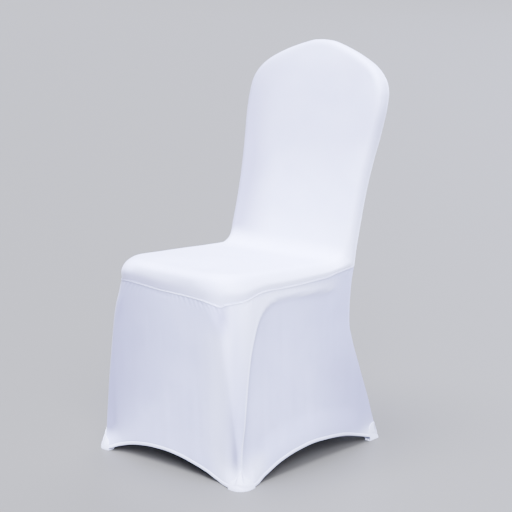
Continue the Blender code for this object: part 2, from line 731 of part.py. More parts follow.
def add_pocket(name, cloth, side, material):
    outer, inner = pocket_points(cloth, side)
    rows, columns = outer.shape[:2]
    sheet = Sheet()
    sheet.add_rows(outer)
    quads = [tuple(int(k) for k in quad) for quad in sheet.quads]
    count = rows * columns
    faces = [quad[::-1] for quad in quads] + [tuple(k + count for k in quad) for quad in quads]
    faces += [(int(a), int(b), int(b) + count, int(a) + count) for a, b in border_edges(sheet.quads)]
    if side < 0:
        faces = [face[::-1] for face in faces]
    points = np.concatenate([outer.reshape(-1, 3), inner.reshape(-1, 3)])
    return add_object(name, points, faces, material)


def add_material(name, colour, roughness):
    material = bpy.data.materials.new(name)
    material.use_nodes = True
    shader = material.node_tree.nodes["Principled BSDF"]
    shader.inputs["Base Color"].default_value = (*colour, 1)
    shader.inputs["Roughness"].default_value = roughness
    shader.inputs["Metallic"].default_value = 0
    return material


def clear_scene():
    for obj in list(bpy.data.objects):
        bpy.data.objects.remove(obj, do_unlink=True)


def main():
    clear_scene()
    face_knit = add_material("white_knit_front", (0.86, 0.87, 0.90), 0.48)
    back_knit = add_material("white_knit_back", (0.84, 0.85, 0.88), 0.50)
    skirt_knit = add_material("white_knit_skirt", (0.80, 0.81, 0.86), 0.50)
    doubled_knit = add_material("white_knit_doubled", (0.90, 0.90, 0.92), 0.55)
    thicken("front_panel", front_panel_mesh(), face_knit)
    thicken("skirt", skirt_mesh(), skirt_knit)
    thicken("back_panel", back_panel_mesh(), back_knit)
    for side, word in ((1, "right"), (-1, "left")):
        add_pocket(f"foot_pocket_front_{word}", front_foot_cloth(side), side, doubled_knit)
        add_pocket(f"foot_pocket_rear_{word}", rear_foot_cloth(side), side, doubled_knit)


main()
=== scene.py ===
"""Looks of a fitted stretch cover for a banquet chair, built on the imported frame."""
import math

import bpy
import numpy as np
from mathutils import Matrix, noise


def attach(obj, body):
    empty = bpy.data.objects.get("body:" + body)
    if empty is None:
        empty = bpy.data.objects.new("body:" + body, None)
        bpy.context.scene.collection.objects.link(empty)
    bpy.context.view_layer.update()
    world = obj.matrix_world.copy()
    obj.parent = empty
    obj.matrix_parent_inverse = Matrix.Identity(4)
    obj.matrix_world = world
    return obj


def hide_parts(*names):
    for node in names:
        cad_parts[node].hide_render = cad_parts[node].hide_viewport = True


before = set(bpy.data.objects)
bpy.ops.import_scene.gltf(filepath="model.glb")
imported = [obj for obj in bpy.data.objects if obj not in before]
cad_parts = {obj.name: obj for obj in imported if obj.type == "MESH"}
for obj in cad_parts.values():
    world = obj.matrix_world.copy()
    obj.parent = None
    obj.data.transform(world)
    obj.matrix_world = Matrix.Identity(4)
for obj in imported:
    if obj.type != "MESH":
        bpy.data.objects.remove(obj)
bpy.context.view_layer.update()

# Cloth and seams, metres
CLOTH = 0.0011
HEM_CLOTH = 0.0020
SEAM_INSET = 0.0002
SEAM_RISE = 0.0008
HEM_WIDTH = 0.0075
HEM_RISE = 0.0007
HEM_ROLL = 0.0016
HEM_SLOPE = 0.002
HEM_GROOVE = 0.0004
HEM_GROOVE_WIDTH = 0.0011

# Seat seam: a rounded rectangle that is open at the rear
SEAT_HALF_WIDTH = 0.192
SEAT_FRONT = -0.234
SEAT_CORNER = 0.075
SEAT_SEAM_REAR = 0.181
SEAM_JOIN_HALF_WIDTH = 0.1925
SEAM_JOIN_HEIGHT = 0.434
LAP_RUN = 0.066

# Cushion edge above the seat seam, and the rolled edge round the back
SEAT_ROLL = 0.025
BACK_ROLL = 0.013
BACK_THICKNESS = 0.032
ROLL_UNDERCUT = math.radians(25)
SQUARE_FRONT = 0.6
ROUND_SIDE = 0.38
CORNER_REACH = 0.010

# Middle line of the seat top and of the back's face
SEAT_TOP_FRONT = 0.4635
SEAT_TOP_FALL = 0.036
BACK_LEAN = 0.257
LAP_RADIUS = 0.042
OUTSIDE_BACK_CROWN = 0.003
LEAST_HALF_WIDTH = 0.02

# Rise of the filled faces, and how far from their ends it fades
SEAT_CROWN = 0.008
BACK_CROWN = 0.006
SEAT_CROWN_FADE = 0.10
BACK_CROWN_FADE = 0.12
BACK_CROWN_END = 0.46

# The back grows thinner towards its crown
CROWN_TAPER = 0.010
CROWN_TAPER_FROM = 0.83
CROWN_TAPER_TO = 0.95
BACK_STARTS = (0, 0.060, 0.390, 0.500)

# Skirt at the feet
FOOT_HALF_WIDTH = 0.221
SKIRT_CLEAR = 0.0019
FOOT_FLARE = 0.012
FLARE_HEIGHT = 0.045
FLARE_FROM = 0.015
FLARE_TO = 0.080
FRONT_FOOT = (0.2215, -0.2265)
REAR_FOOT = (0.198, 0.271)
SIDE_HOLLOW = 0.0040
CREASE_DROP = 0.0018
CREASE_WIDTH = 0.004
CREASE_RIDGE = 0.0009
CREASE_RIDGE_WIDTH = 0.0045
HOLLOW_WIDTH = 0.030
FRONT_HOLLOW = 0.004

# Foot pockets
POCKET_OUT = 0.0010
POCKET_TOP = 0.905
POCKET_LIP = 0.012
POCKET_DEPTH = 0.009
LIP_FROM = 0.16
POCKET_END = 0.30
POCKET_RISE = 0.022
POCKET_ROWS = 26
REAR_POCKET_REACH = 0.034
POCKET_HOLLOW_MOST = 0.0009

# Painted shade where the front's left part turns away from the light
TURNED_FROM = -0.22
TURNED_WIDTH = 0.29

# Middle of the depth, between the front feet and the crown's rear
MIDDLE = 0.0305

# Steps along half of the panels' outline, from the front's middle to the crown's
FRONT_STEPS = 9
CORNER_STEPS = 6
SIDE_STEPS = 9
LAP_STEPS = 6
BACK_STEPS = 8
SHOULDER_STEPS = 6
CROWN_STEPS = 9

SKIRT_CORNER = FRONT_STEPS + CORNER_STEPS // 2
SKIRT_SIDE = FRONT_STEPS + CORNER_STEPS
LAP_START = SKIRT_SIDE + SIDE_STEPS
JOIN = LAP_START + LAP_STEPS // 2
LAP_END = LAP_START + LAP_STEPS
SHOULDER_START = LAP_END + BACK_STEPS
SHOULDER = SHOULDER_START + SHOULDER_STEPS // 2
SHOULDER_END = SHOULDER_START + SHOULDER_STEPS
CROWN = SHOULDER_END + CROWN_STEPS

# Finer parts of each step for the panels
FINE = 5
SKIRT_FINE = 8
SOFTENING = 90
CREASE_PARTS = 121
FRONT_SPREAD = (0, 0.13, 0.26, 0.39, 0.52, 0.64, 0.75, 0.85, 0.93, 1)
SIDE_SPREAD = (0, 0.05, 0.12, 0.20, 0.30, 0.42, 0.56, 0.70, 0.85, 1)

BACK_ANGLE = math.atan(BACK_LEAN)
UP_BACK = np.array([0, math.sin(BACK_ANGLE), math.cos(BACK_ANGLE)])
OUT_OF_BACK = np.array([0, -math.cos(BACK_ANGLE), math.sin(BACK_ANGLE)])


class Table:
    """Rows of named columns, read in between by a smooth curve without overshoot."""

    def __init__(self, names, *rows):
        self.column = dict(zip(names.split(), np.array(rows, float).T))
        self.key = names.split()[0]

    def read(self, name, at):
        return smooth(self.column[self.key], self.column[name], np.asarray(at, float))


def smooth(xs, ys, at):
    """Monotone cubic curve through (xs, ys), where xs rises, read at the values at."""
    step = np.diff(xs)
    slope = np.diff(ys) / step
    before, after = slope[:-1], slope[1:]
    same_way = before * after > 0
    total = np.where(same_way, before + after, 1.0)
    inner = np.where(same_way, 2 * before * after / total, 0.0)
    tangent = np.concatenate([slope[:1], inner, slope[-1:]])
    at = np.clip(at, xs[0], xs[-1])
    k = np.clip(np.searchsorted(xs, at, side="right") - 1, 0, len(step) - 1)
    t = (at - xs[k]) / step[k]
    rise = t * t * (3 - 2 * t)
    leave = t * (1 - t) ** 2
    arrive = t * t * (t - 1)
    bend = tangent[k] * leave + tangent[k + 1] * arrive
    return ys[k] + (ys[k + 1] - ys[k]) * rise + step[k] * bend


def ramp(value, start, end):
    """0 up to start, 1 from end, smooth between."""
    t = np.clip((value - start) / (end - start), 0, 1)
    return t * t * (3 - 2 * t)


def bump(value, centre, width):
    """A soft hill of height 1."""
    return np.exp(-((value - centre) / width) ** 2)


def fade(value, start, end):
    """1 up to start, 0 from end, smooth between."""
    return 1 - ramp(value, start, end)


def unit(vectors):
    """Vectors at length 1; those of no length stay 0."""
    vectors = np.asarray(vectors, float)
    length = np.linalg.norm(vectors, axis=-1, keepdims=True)
    return vectors / np.where(length > 0, length, 1)


def distances(points):
    """Lengths along a line of points, from its start."""
    return np.concatenate([[0], np.cumsum(np.linalg.norm(np.diff(points, axis=0), axis=-1))])


SEAT_SEAM = Table(
    "along height",
    (-0.575, 0.434), (-0.537, 0.429), (-0.484, 0.4216), (-0.4, 0.4202), (-0.265, 0.4192),
    (-0.2, 0.4142), (-0.17, 0.4122), (-0.135, 0.4172), (-0.115, 0.4182), (-0.095, 0.4172),
    (-0.055, 0.4147), (-0.015, 0.4125), (0.03, 0.412), (0.08, 0.4105), (0.11, 0.4087),
    (0.13, 0.4059), (0.145, 0.4022), (0.16, 0.3987), (0.17, 0.4027), (0.19, 0.4062), (0.21, 0.4087),
    (0.23, 0.4132), (0.25, 0.4182), (0.27, 0.4215), (0.29, 0.4222), (0.33, 0.4207), (0.39, 0.42),
    (0.45, 0.4212), (0.484, 0.4221), (0.51, 0.4264), (0.54, 0.43), (0.575, 0.434),
)
BACK_OUTLINE = Table(
    "row half_width height",
    (0, 0.1925, 0.434), (1, 0.1905, 0.475), (2, 0.19, 0.54), (3, 0.191, 0.6), (4, 0.1955, 0.66),
    (5, 0.2045, 0.73), (6, 0.2095, 0.79), (7, 0.208, 0.82), (8, 0.201, 0.844), (9, 0.1865, 0.865),
    (10, 0.166, 0.883), (11, 0.128, 0.903), (12, 0.089, 0.9185), (13, 0.055, 0.9295),
    (14, 0.024, 0.937), (15, 0.0, 0.9385),
)
LEG_SEAM = Table(
    "down half_width depth",
    (0.0, 0.1925, 0.181), (0.08, 0.193, 0.172), (0.2, 0.194, 0.165), (0.3, 0.195, 0.163),
    (0.4, 0.196, 0.173), (0.55, 0.197, 0.197), (0.78, 0.198, 0.2358), (0.86, 0.198, 0.2486),
    (0.93, 0.198, 0.2598), (1.0, 0.198, 0.271),
)
SKIRT_FRONT_CORNER = Table(
    "down half_width depth front_radius side_radius",
    (0.0, 0.192, -0.234, 0.075, 0.075), (0.07, 0.197, -0.2338, 0.06, 0.072),
    (0.15, 0.2005, -0.2333, 0.042, 0.067), (0.25, 0.2035, -0.2328, 0.032, 0.058),
    (0.5, 0.2105, -0.2305, 0.02, 0.036), (0.75, 0.2175, -0.2285, 0.011, 0.016),
    (0.9, 0.221, -0.2275, 0.008, 0.01), (1.0, 0.2235, -0.2275, 0.012, 0.014),
)
# Crease over the chair's seat rail and down its front leg, in the side's plane
CREASE = Table(
    "row depth height",
    (0, 0.15, 0.389), (1, 0.07, 0.39), (2, 0.007, 0.394), (3, -0.05, 0.3965), (4, -0.08, 0.3965),
    (5, -0.103, 0.392), (6, -0.124, 0.382), (7, -0.143, 0.364), (8, -0.157, 0.338),
    (9, -0.169, 0.307), (10, -0.18, 0.27), (11, -0.194, 0.202), (12, -0.206, 0.134),
    (13, -0.216, 0.089), (14, -0.223, 0.047), (15, -0.228, 0.01),
)
FRONT_HEM = Table(
    "place height",
    (-1.0, 0.0), (-0.92, 0.001), (-0.77, 0.013), (-0.52, 0.027), (-0.28, 0.033), (-0.1, 0.034),
    (0.1, 0.031), (0.31, 0.024), (0.54, 0.013), (0.65, 0.005), (0.76, 0.0), (1.0, 0.0),
)
RIGHT_HEM = Table(
    "place height",
    (-1.0, 0.0), (-0.85, 0.0), (-0.73, 0.01), (-0.51, 0.029), (-0.28, 0.04), (0.0, 0.045),
    (0.2, 0.042), (0.45, 0.035), (0.71, 0.019), (0.9, 0.005), (1.0, 0.0),
)
LEFT_HEM = Table(
    "place height",
    (-1.0, 0.0), (-0.8, 0.006), (-0.5, 0.028), (-0.2, 0.042), (0.05, 0.046), (0.35, 0.041),
    (0.64, 0.026), (0.86, 0.007), (1.0, 0.0),
)
REAR_HEM = Table(
    "place height",
    (-1.0, 0.0), (-0.84, 0.006), (-0.5, 0.027), (-0.1, 0.036), (0.15, 0.035), (0.55, 0.023),
    (0.84, 0.005), (1.0, 0.0),
)
REAR_BRIDGE = Table(
    "height out",
    (0.0, 0.0), (0.055, 0.0), (0.14, 0.012), (0.22, 0.021), (0.3, 0.026), (0.37, 0.018),
    (0.434, 0.006), (0.5, OUTSIDE_BACK_CROWN), (0.95, OUTSIDE_BACK_CROWN),
)


def rear_plane(height):
    """Depth of the back's rear plane at a height."""
    taper = CROWN_TAPER * ramp(height, CROWN_TAPER_FROM, CROWN_TAPER_TO)
    return SEAT_SEAM_REAR + BACK_LEAN * (height - SEAM_JOIN_HEIGHT) - taper


def seat_seam_plan(step):
    """Plan points and outward normals of the seat seam at steps, and the distances along."""
    step = np.asarray(step, float)
    straight = SEAT_HALF_WIDTH - SEAT_CORNER
    side_start = SEAT_FRONT + SEAT_CORNER
    lap = SEAT_SEAM_REAR - LAP_RUN
    turn = math.pi / 2 * np.clip((step - FRONT_STEPS) / CORNER_STEPS, 0, 1)
    normal = np.stack([np.sin(turn), -np.cos(turn)], -1)
    run = (lap - side_start) * np.interp(step - SKIRT_SIDE, range(SIDE_STEPS + 1), SIDE_SPREAD)
    run = run + (SEAT_SEAM_REAR - lap) * np.clip((step - LAP_START) / (JOIN - LAP_START), 0, 1)
    across = straight * np.interp(step, range(FRONT_STEPS + 1), FRONT_SPREAD)
    share = run / (SEAT_SEAM_REAR - side_start)
    widen = (SEAM_JOIN_HALF_WIDTH - SEAT_HALF_WIDTH) * share ** 2
    x = across + SEAT_CORNER * normal[..., 0] + widen
    y = side_start + SEAT_CORNER * normal[..., 1] + run
    return np.stack([x, y], -1), normal, across + SEAT_CORNER * turn + run


OUTLINE_FINE = np.linspace(0, 15, 600)
OUTLINE_POINTS = np.stack([BACK_OUTLINE.read("half_width", OUTLINE_FINE),
                           BACK_OUTLINE.read("height", OUTLINE_FINE)], -1)
OUTLINE_LENGTH = distances(OUTLINE_POINTS)


def back_outline(step):
    """Points of the back's rear edge at steps from the seam join to the crown's middle."""
    stations = [JOIN, LAP_END, SHOULDER_START, SHOULDER_END, CROWN]
    at = np.interp(step, stations, [*BACK_STARTS, OUTLINE_LENGTH[-1]])
    half_width = np.interp(at, OUTLINE_LENGTH, OUTLINE_POINTS[:, 0])
    height = np.interp(at, OUTLINE_LENGTH, OUTLINE_POINTS[:, 1])
    return np.stack([half_width, rear_plane(height), height], -1)


def seam_loop(steps, side=1):
    """Front panel's seam at steps on one side: points, outward normals and seam normals."""
    steps = np.asarray(steps, float)
    rear = -OUT_OF_BACK
    place, normal, along = seat_seam_plan(steps)
    seat = np.column_stack([place, SEAT_SEAM.read("height", side * along)])
    seat_out = np.column_stack([normal, np.zeros(len(steps))])
    seat_pull = seat_out + rear * ramp(steps, LAP_START, JOIN)[:, None]
    back = back_outline(steps)
    ahead = back_outline(np.minimum(steps + 0.5, CROWN))
    behind = back_outline(np.maximum(steps - 0.5, JOIN))
    back_out = unit(np.cross(rear, ahead - behind))
    back_out[steps >= CROWN] = UP_BACK
    on_seat = (steps < JOIN)[:, None]
    points = np.where(on_seat, seat, back)
    outward = np.where(on_seat, seat_out, back_out)
    seam = np.where(on_seat, seat_pull, back_out + rear)
    flip = np.array([side, 1, 1])
    return points * flip, unit(outward) * flip, unit(seam) * flip


def middle_line(along):
    """Seat top and back face on the middle plane: points and normals by the length along."""
    start = np.array([SEAT_FRONT + SEAT_ROLL, SEAT_TOP_FRONT])
    seat = unit([1, -SEAT_TOP_FALL])
    back = UP_BACK[1:]
    face = np.array([SEAT_SEAM_REAR, SEAM_JOIN_HEIGHT]) + OUT_OF_BACK[1:] * BACK_THICKNESS
    meet = np.linalg.solve(np.stack([seat, -back], 1), face - start)
    corner = start + seat * meet[0]
    turn = math.acos(float(seat @ back))
    reach = LAP_RADIUS * math.tan(turn / 2)
    flat = meet[0] - reach
    arc = LAP_RADIUS * turn
    centre = start + seat * flat + np.array([-seat[1], seat[0]]) * LAP_RADIUS
    along = np.asarray(along, float)
    angle = np.clip((along - flat) / LAP_RADIUS, 0, turn)
    first = math.atan2(seat[1], seat[0])
    normal = np.stack([-np.sin(first + angle), np.cos(first + angle)], -1)
    point = centre - normal * LAP_RADIUS
    point = point + seat * np.minimum(along - flat, 0)[..., None]
    point = point + back * np.maximum(along - flat - arc, 0)[..., None]
    return point, normal, flat, flat + arc, corner + back * reach


def roll_edge(steps):
    """Where the rolled edge ends, as place across and length along the middle line."""
    _, _, _, lap_to, base = middle_line(0.0)
    lean = math.hypot(1, SEAT_TOP_FALL)

    def on_seat(step):
        points, outward, _ = seam_loop(step)
        reach = SEAT_ROLL + CORNER_REACH * bump(step, SKIRT_CORNER, 2.4)
        place = points[:, :2] - outward[:, :2] * reach[:, None]
        return place[:, 0], (place[:, 1] - SEAT_FRONT - SEAT_ROLL) * lean

    def on_back(step):
        points, outward, _ = seam_loop(step)
        place = points - outward * BACK_ROLL + OUT_OF_BACK * BACK_THICKNESS
        return place[:, 0], lap_to + (place[:, 1:] - base) @ UP_BACK[1:]

    seat, back = on_seat(np.minimum(steps, LAP_START)), on_back(np.maximum(steps, LAP_END))
    share = np.clip((steps - LAP_START) / LAP_STEPS, 0, 1)
    across = seat[0] + (back[0] - seat[0]) * ramp(share, 0, 1)
    along = seat[1] + (back[1] - seat[1]) * share
    return across, along


def raise_face(across, along):
    """Point of the seat top or back face, with the fill's crown."""
    line, normal, lap_from, lap_to, _ = middle_line(along)
    side = np.clip(1 - (across / (SEAT_HALF_WIDTH - SEAT_ROLL)) ** 2, 0, 1) ** 1.5
    on_seat = ramp(along, 0, SEAT_CROWN_FADE) * ramp(lap_from - along, 0, SEAT_CROWN_FADE)
    up = along - lap_to
    on_back = ramp(up, 0, BACK_CROWN_FADE) * ramp(BACK_CROWN_END - up, 0, BACK_CROWN_FADE)
    lift = side * (SEAT_CROWN * on_seat + BACK_CROWN * on_back)
    line = line + normal * lift[..., None]
    return np.concatenate([across[..., None], line], -1)


def coons(bottom, top, left, right, u=None, v=None):
    """Grid of points that fills four edges which meet at their ends."""
    u = (np.linspace(0, 1, len(bottom)) if u is None else u)[None, :, None]
    v = (np.linspace(0, 1, len(left)) if v is None else v)[:, None, None]
    ruled = (1 - v) * bottom[None] + v * top[None] + (1 - u) * left[:, None] + u * right[:, None]
    ends = (1 - u) * ((1 - v) * bottom[0] + v * top[0]) + u * ((1 - v) * bottom[-1] + v * top[-1])
    return ruled - ends


def mirror_x(points):
    """Points with their first coordinate turned round."""
    return points * np.array([-1] + [1] * (points.shape[-1] - 1))


def draw_in(edge, inner, seam, closed=False):
    """Edge points moved off the seam into their own panel and up onto the seam's ridge."""
    if closed:
        tangent = unit(np.roll(edge, -1, 0) - np.roll(edge, 1, 0))
    else:
        tangent = unit(np.gradient(edge, axis=0))
    way = inner - edge
    way = way - (way * seam).sum(-1, keepdims=True) * seam
    way = way - (way * tangent).sum(-1, keepdims=True) * tangent
    return edge + unit(way) * SEAM_INSET + seam * SEAM_RISE


def uneven(points, scale, seed):
    """Slow unevenness between -1 and 1 at points, the same on each run."""
    shape = points.shape[:-1]
    flat = points.reshape(-1, 3) / scale + seed * 17.3
    return np.array([noise.noise(p) for p in flat.tolist()]).reshape(shape)


def sheet_normals(points, quads):
    """Unit normals at the points, from the quads around them."""
    a, b, c, d = (points[quads[:, k]] for k in range(4))
    area = np.cross(c - a, d - b)
    normals = np.zeros_like(points)
    for k in range(4):
        np.add.at(normals, quads[:, k], area)
    return unit(normals)


def grid_quads(index, closed=False):
    """Quads between the rows of an index grid, also from its last column to the first."""
    following = np.roll(index, -1, 1)
    a, b, c, d = index[:-1], following[:-1], following[1:], index[1:]
    quads = np.stack([a, b, c, d], -1)
    if not closed:
        quads = quads[:, :-1]
    return quads.reshape(-1, 4)


class Sheet:
    """Points and quads of one sheet, later thickened into a closed shell."""

    def __init__(self):
        self.points = np.zeros((0, 3))
        self.quads = np.zeros((0, 4), int)
        self.cloth = np.zeros((0, 2))
        self.pull = {}
        self.hem = []
        self.tones = {}

    def add_rows(self, rows, cloth, closed=False, flip=False):
        """Add rows of points, each row joined to the next."""
        index = np.arange(rows.shape[0] * rows.shape[1]).reshape(rows.shape[:2]) + len(self.points)
        self.points = np.concatenate([self.points, rows.reshape(-1, 3)])
        self.cloth = np.concatenate([self.cloth, cloth.reshape(-1, 2)])
        quads = grid_quads(index[::-1] if flip else index, closed)
        self.quads = np.concatenate([self.quads, quads])
        return index

    def hold(self, index, directions):
        """Set the normals along a seam, so that the cloths on both its sides meet."""
        self.pull.update(zip(index.tolist(), directions))

    def add_grid(self, grid, cloth, index):
        """Add a grid whose index is less than 0 where its points are new."""
        new = index < 0
        index[new] = np.arange(new.sum()) + len(self.points)
        self.points = np.concatenate([self.points, grid[new]])
        self.cloth = np.concatenate([self.cloth, cloth[new]])
        self.quads = np.concatenate([self.quads, grid_quads(index)])
        return index


def border_edges(quads):
    """Directed edges that only one quad uses."""
    edges = np.concatenate([quads[:, [k, (k + 1) % 4]] for k in range(4)])
    size = int(edges.max()) + 1
    code, back = edges[:, 0] * size + edges[:, 1], edges[:, 1] * size + edges[:, 0]
    return edges[~np.isin(code, back)]


def shell_faces(quads, count):
    """Faces of a sheet, of its other face count points further on, and of the rim between."""
    edges = border_edges(quads)
    rim = np.stack([edges[:, 1], edges[:, 0], edges[:, 0] + count, edges[:, 1] + count], -1)
    return np.concatenate([quads, quads[:, ::-1] + count, rim])


def thicken(name, sheet, material, move):
    """Object with the sheet as its outer face and the cloth's thickness inside."""
    quads = sheet.quads
    points = sheet.points + sheet_normals(sheet.points, quads) * move[:, None]
    normals = sheet_normals(points, quads)
    for k, direction in sheet.pull.items():
        normals[k] = direction
    depth = np.full(len(points), CLOTH)
    depth[sheet.hem] = HEM_CLOTH
    sheet.outer, sheet.outward = points, normals
    both = np.concatenate([points, points - normals * depth[:, None]])
    faces = shell_faces(quads, len(points))
    return add_object(name, both, faces, material, sheet.cloth, sheet.tones)


def add_object(name, points, faces, material, cloth=None, tones=None, smooth_angle=60):
    """Mesh object; cloth and tones are those of one face of a sheet, and serve for both."""
    mesh = bpy.data.meshes.new(name)
    faces = faces.tolist() if isinstance(faces, np.ndarray) else faces
    mesh.from_pydata((points - (0, MIDDLE, 0)).tolist(), [], faces)
    if cloth is not None:
        corner = np.zeros(len(mesh.loops), int)
        mesh.loops.foreach_get("vertex_index", corner)
        both = np.concatenate([cloth, cloth])
        mesh.uv_layers.new(name="cloth").data.foreach_set("uv", both[corner].ravel())
    for key, value in (tones or {}).items():
        both = np.concatenate([value, value]).astype(float)
        mesh.attributes.new(key, "FLOAT", "POINT").data.foreach_set("value", both)
    mesh.materials.append(material)
    mesh.shade_smooth()
    mesh.set_sharp_from_angle(angle=math.radians(smooth_angle))
    mesh.update()
    obj = bpy.data.objects.new(name, mesh)
    bpy.context.scene.collection.objects.link(obj)
    return obj


def cloth_lengths(grid):
    """Lengths across and down a grid of points, as the cloth's own coordinates."""
    across = np.linalg.norm(np.diff(grid, axis=1), axis=-1).mean(0)
    down = np.linalg.norm(np.diff(grid, axis=0), axis=-1).mean(1)
    u = np.concatenate([[0], np.cumsum(across)])
    v = np.concatenate([[0], np.cumsum(down)])
    return np.stack(np.meshgrid(u, v), -1)


def fine_steps(first, last, parts=FINE):
    """Steps from first to last, each in its finer parts."""
    return np.linspace(first, last, (last - first) * parts + 1)


def skirt_section(step, down, side):
    """Points of the skirt at steps from the front's middle; side is 1 right, -1 left."""
    step, down = np.broadcast_arrays(np.asarray(step, float), np.asarray(down, float))
    half_width, front, front_radius, side_radius = (
        SKIRT_FRONT_CORNER.read(name, down)
        for name in ("half_width", "depth", "front_radius", "side_radius"))
    plan, _, along = seat_seam_plan(step)
    seam_z = SEAT_SEAM.read("height", side * along)

    share = np.interp(step, range(FRONT_STEPS + 1), FRONT_SPREAD)
    front_x = (half_width - front_radius) * share
    front_y = front + FRONT_HOLLOW * (1 - share ** 2) * ramp(down, 0.04, 0.5)
    front_hem = FRONT_HEM.read("height", side * front_x / FOOT_HALF_WIDTH)

    turn = math.pi / 2 * np.clip((step - FRONT_STEPS) / CORNER_STEPS, 0, 1)
    corner_x = half_width - front_radius + front_radius * np.sin(turn)
    corner_y = front + side_radius - side_radius * np.cos(turn)

    start = SEAT_FRONT + SEAT_CORNER
    place = np.clip((plan[..., 1] - start) / (SEAT_SEAM_REAR - start), 0, 1)
    crease, rear = front + side_radius, LEG_SEAM.read("depth", down)
    side_y = crease + (rear - crease) * place
    side_x = half_width + (LEG_SEAM.read("half_width", down) - half_width) * place
    side_z = seam_z + (SKIRT_CLEAR - seam_z) * down
    side_x = side_x - side_hollow(side_y, side_z, rear - side_y)
    side_hem = (RIGHT_HEM if side > 0 else LEFT_HEM).read("height", 2 * place - 1)

    def joined(on_front, on_corner, on_side):
        behind = np.where(step > SKIRT_SIDE, on_side, on_corner)
        return np.where(step <= FRONT_STEPS, on_front, behind)

    x, y = joined(front_x, corner_x, side_x), joined(front_y, corner_y, side_y)
    hem, reach = joined(front_hem, 0.0, side_hem), joined(half_width - x, 0.0, y - front)
    z = seam_z + (hem + SKIRT_CLEAR - seam_z) * down
    flare = FOOT_FLARE * fade(z, 0, FLARE_HEIGHT) * fade(reach, FLARE_FROM, FLARE_TO)
    return np.stack([side * (x + np.sin(turn) * flare), y - np.cos(turn) * flare, z], -1)


def past_crease(depth, height):
    """Distance behind the front leg's crease or below the rail's, less than 0 outside it."""
    fine = np.linspace(0, 15, CREASE_PARTS)
    line = np.stack([CREASE.read("depth", fine), CREASE.read("height", fine)], -1)
    heading = unit(np.gradient(line, axis=0))
    way = np.stack([depth, height], -1)[..., None, :] - line
    nearest = np.argmin((way ** 2).sum(-1), -1)
    away = np.take_along_axis(way, nearest[..., None, None], -2)[..., 0, :]
    ahead = heading[nearest]
    return ahead[..., 0] * away[..., 1] - ahead[..., 1] * away[..., 0]


def side_hollow(depth, height, before_rear):
    """How far the side is drawn in between the front leg, the seat rail and the rear leg."""
    inside = past_crease(depth, height)
    clear = np.maximum(inside, 0)
    drop = CREASE_DROP * (1 - np.exp(-clear / CREASE_WIDTH))
    drop = drop + SIDE_HOLLOW * (1 - np.exp(-clear / HOLLOW_WIDTH))
    ridge = CREASE_RIDGE * bump(inside, 0, CREASE_RIDGE_WIDTH)
    free = ramp(before_rear, 0, 0.12) * ramp(height, 0.020, 0.090)
    off_rail = 1 - ramp(depth, 0.085, 0.140) * ramp(height, 0.30, 0.36)
    return (drop - ridge) * free * off_rail


def leg_seam_line(down):
    """Points of the right leg seam at shares of the way down."""
    return skirt_section(np.full(len(down), JOIN), down, 1)


LEG_SEAM_LINE = leg_seam_line(np.linspace(1, 0, 60))
LEG_SEAM_DEPTH = (LEG_SEAM_LINE[:, 2], LEG_SEAM_LINE[:, 1])


def leg_seam_normals(line):
    """Outward directions halfway between the side and the outside back, down the leg seam."""
    down = np.gradient(line, axis=0)
    rear = unit(np.stack([np.zeros(len(line)), -down[:, 2], down[:, 1]], -1))
    normals = unit(rear + np.array([1, 0, 0]))
    normals[0] = seam_loop([JOIN])[2][0]
    return normals


# Rows down the skirt: lengths below the seam, then shares, then lengths above the hem
TOP_ROWS = np.array([0, 0.5, 1.0, 1.6, 2.2, 2.8, 3.5, 4.3, 5.2, 6.3, 8, 11, 15, 20, 26, 33]) / 1000
BOTTOM_ROWS = np.array([33, 26, 20, 15.5, 12, 10, 8.8, 7.9, 7.2, 6.5, 5.6, 4.4, 3.0, 1.6, 0.7,
                        0]) / 1000
MIDDLE_ROWS = 44
HEM_STITCH_ROW = 8
# Shares of the way down the leg seam between which its ridge ends
RIDGE_ENDS = (0.75, 0.86)


def skirt_downs(steps, side):
    """Shares of the way down for each row and step, with fixed lengths near both ends."""
    top = skirt_section(steps, 0.0, side)[:, 2]
    hem = skirt_section(steps, 1.0, side)[:, 2]
    drop = top - hem
    first, last = TOP_ROWS[-1] / drop, 1 - BOTTOM_ROWS[0] / drop
    share = np.linspace(0, 1, MIDDLE_ROWS + 2)[1:-1, None]
    middle = first + (last - first) * share
    return np.concatenate([TOP_ROWS[:, None] / drop, middle, 1 - BOTTOM_ROWS[:, None] / drop])


def skirt_rows():
    """Skirt's fine grid, with its signed steps and its shares of the way down."""
    half = fine_steps(0, JOIN, SKIRT_FINE)
    right_downs, left_downs = skirt_downs(half, 1), skirt_downs(half, -1)
    right = skirt_section(half[None], right_downs, 1)
    left = skirt_section(half[None], left_downs, -1)
    grid = np.concatenate([left[:, :0:-1], right], 1)
    signed = np.concatenate([-half[:0:-1], half])
    return grid, signed, np.concatenate([left_downs[:, :0:-1], right_downs], 1)


def hem_profile(above):
    """How far a hem stands out at a length above its edge, with its stitched groove."""
    rolled = np.sqrt(np.clip(above / HEM_ROLL, 0, 1))
    band = HEM_RISE * rolled * fade(above, HEM_WIDTH - HEM_SLOPE, HEM_WIDTH)
    groove = -HEM_GROOVE * bump(above, HEM_WIDTH, HEM_GROOVE_WIDTH)
    return band + groove


def hem_light(above):
    """Where a hem's doubled cloth looks lighter, by the length above its edge."""
    return fade(above, HEM_WIDTH - 0.0012, HEM_WIDTH + 0.0004)


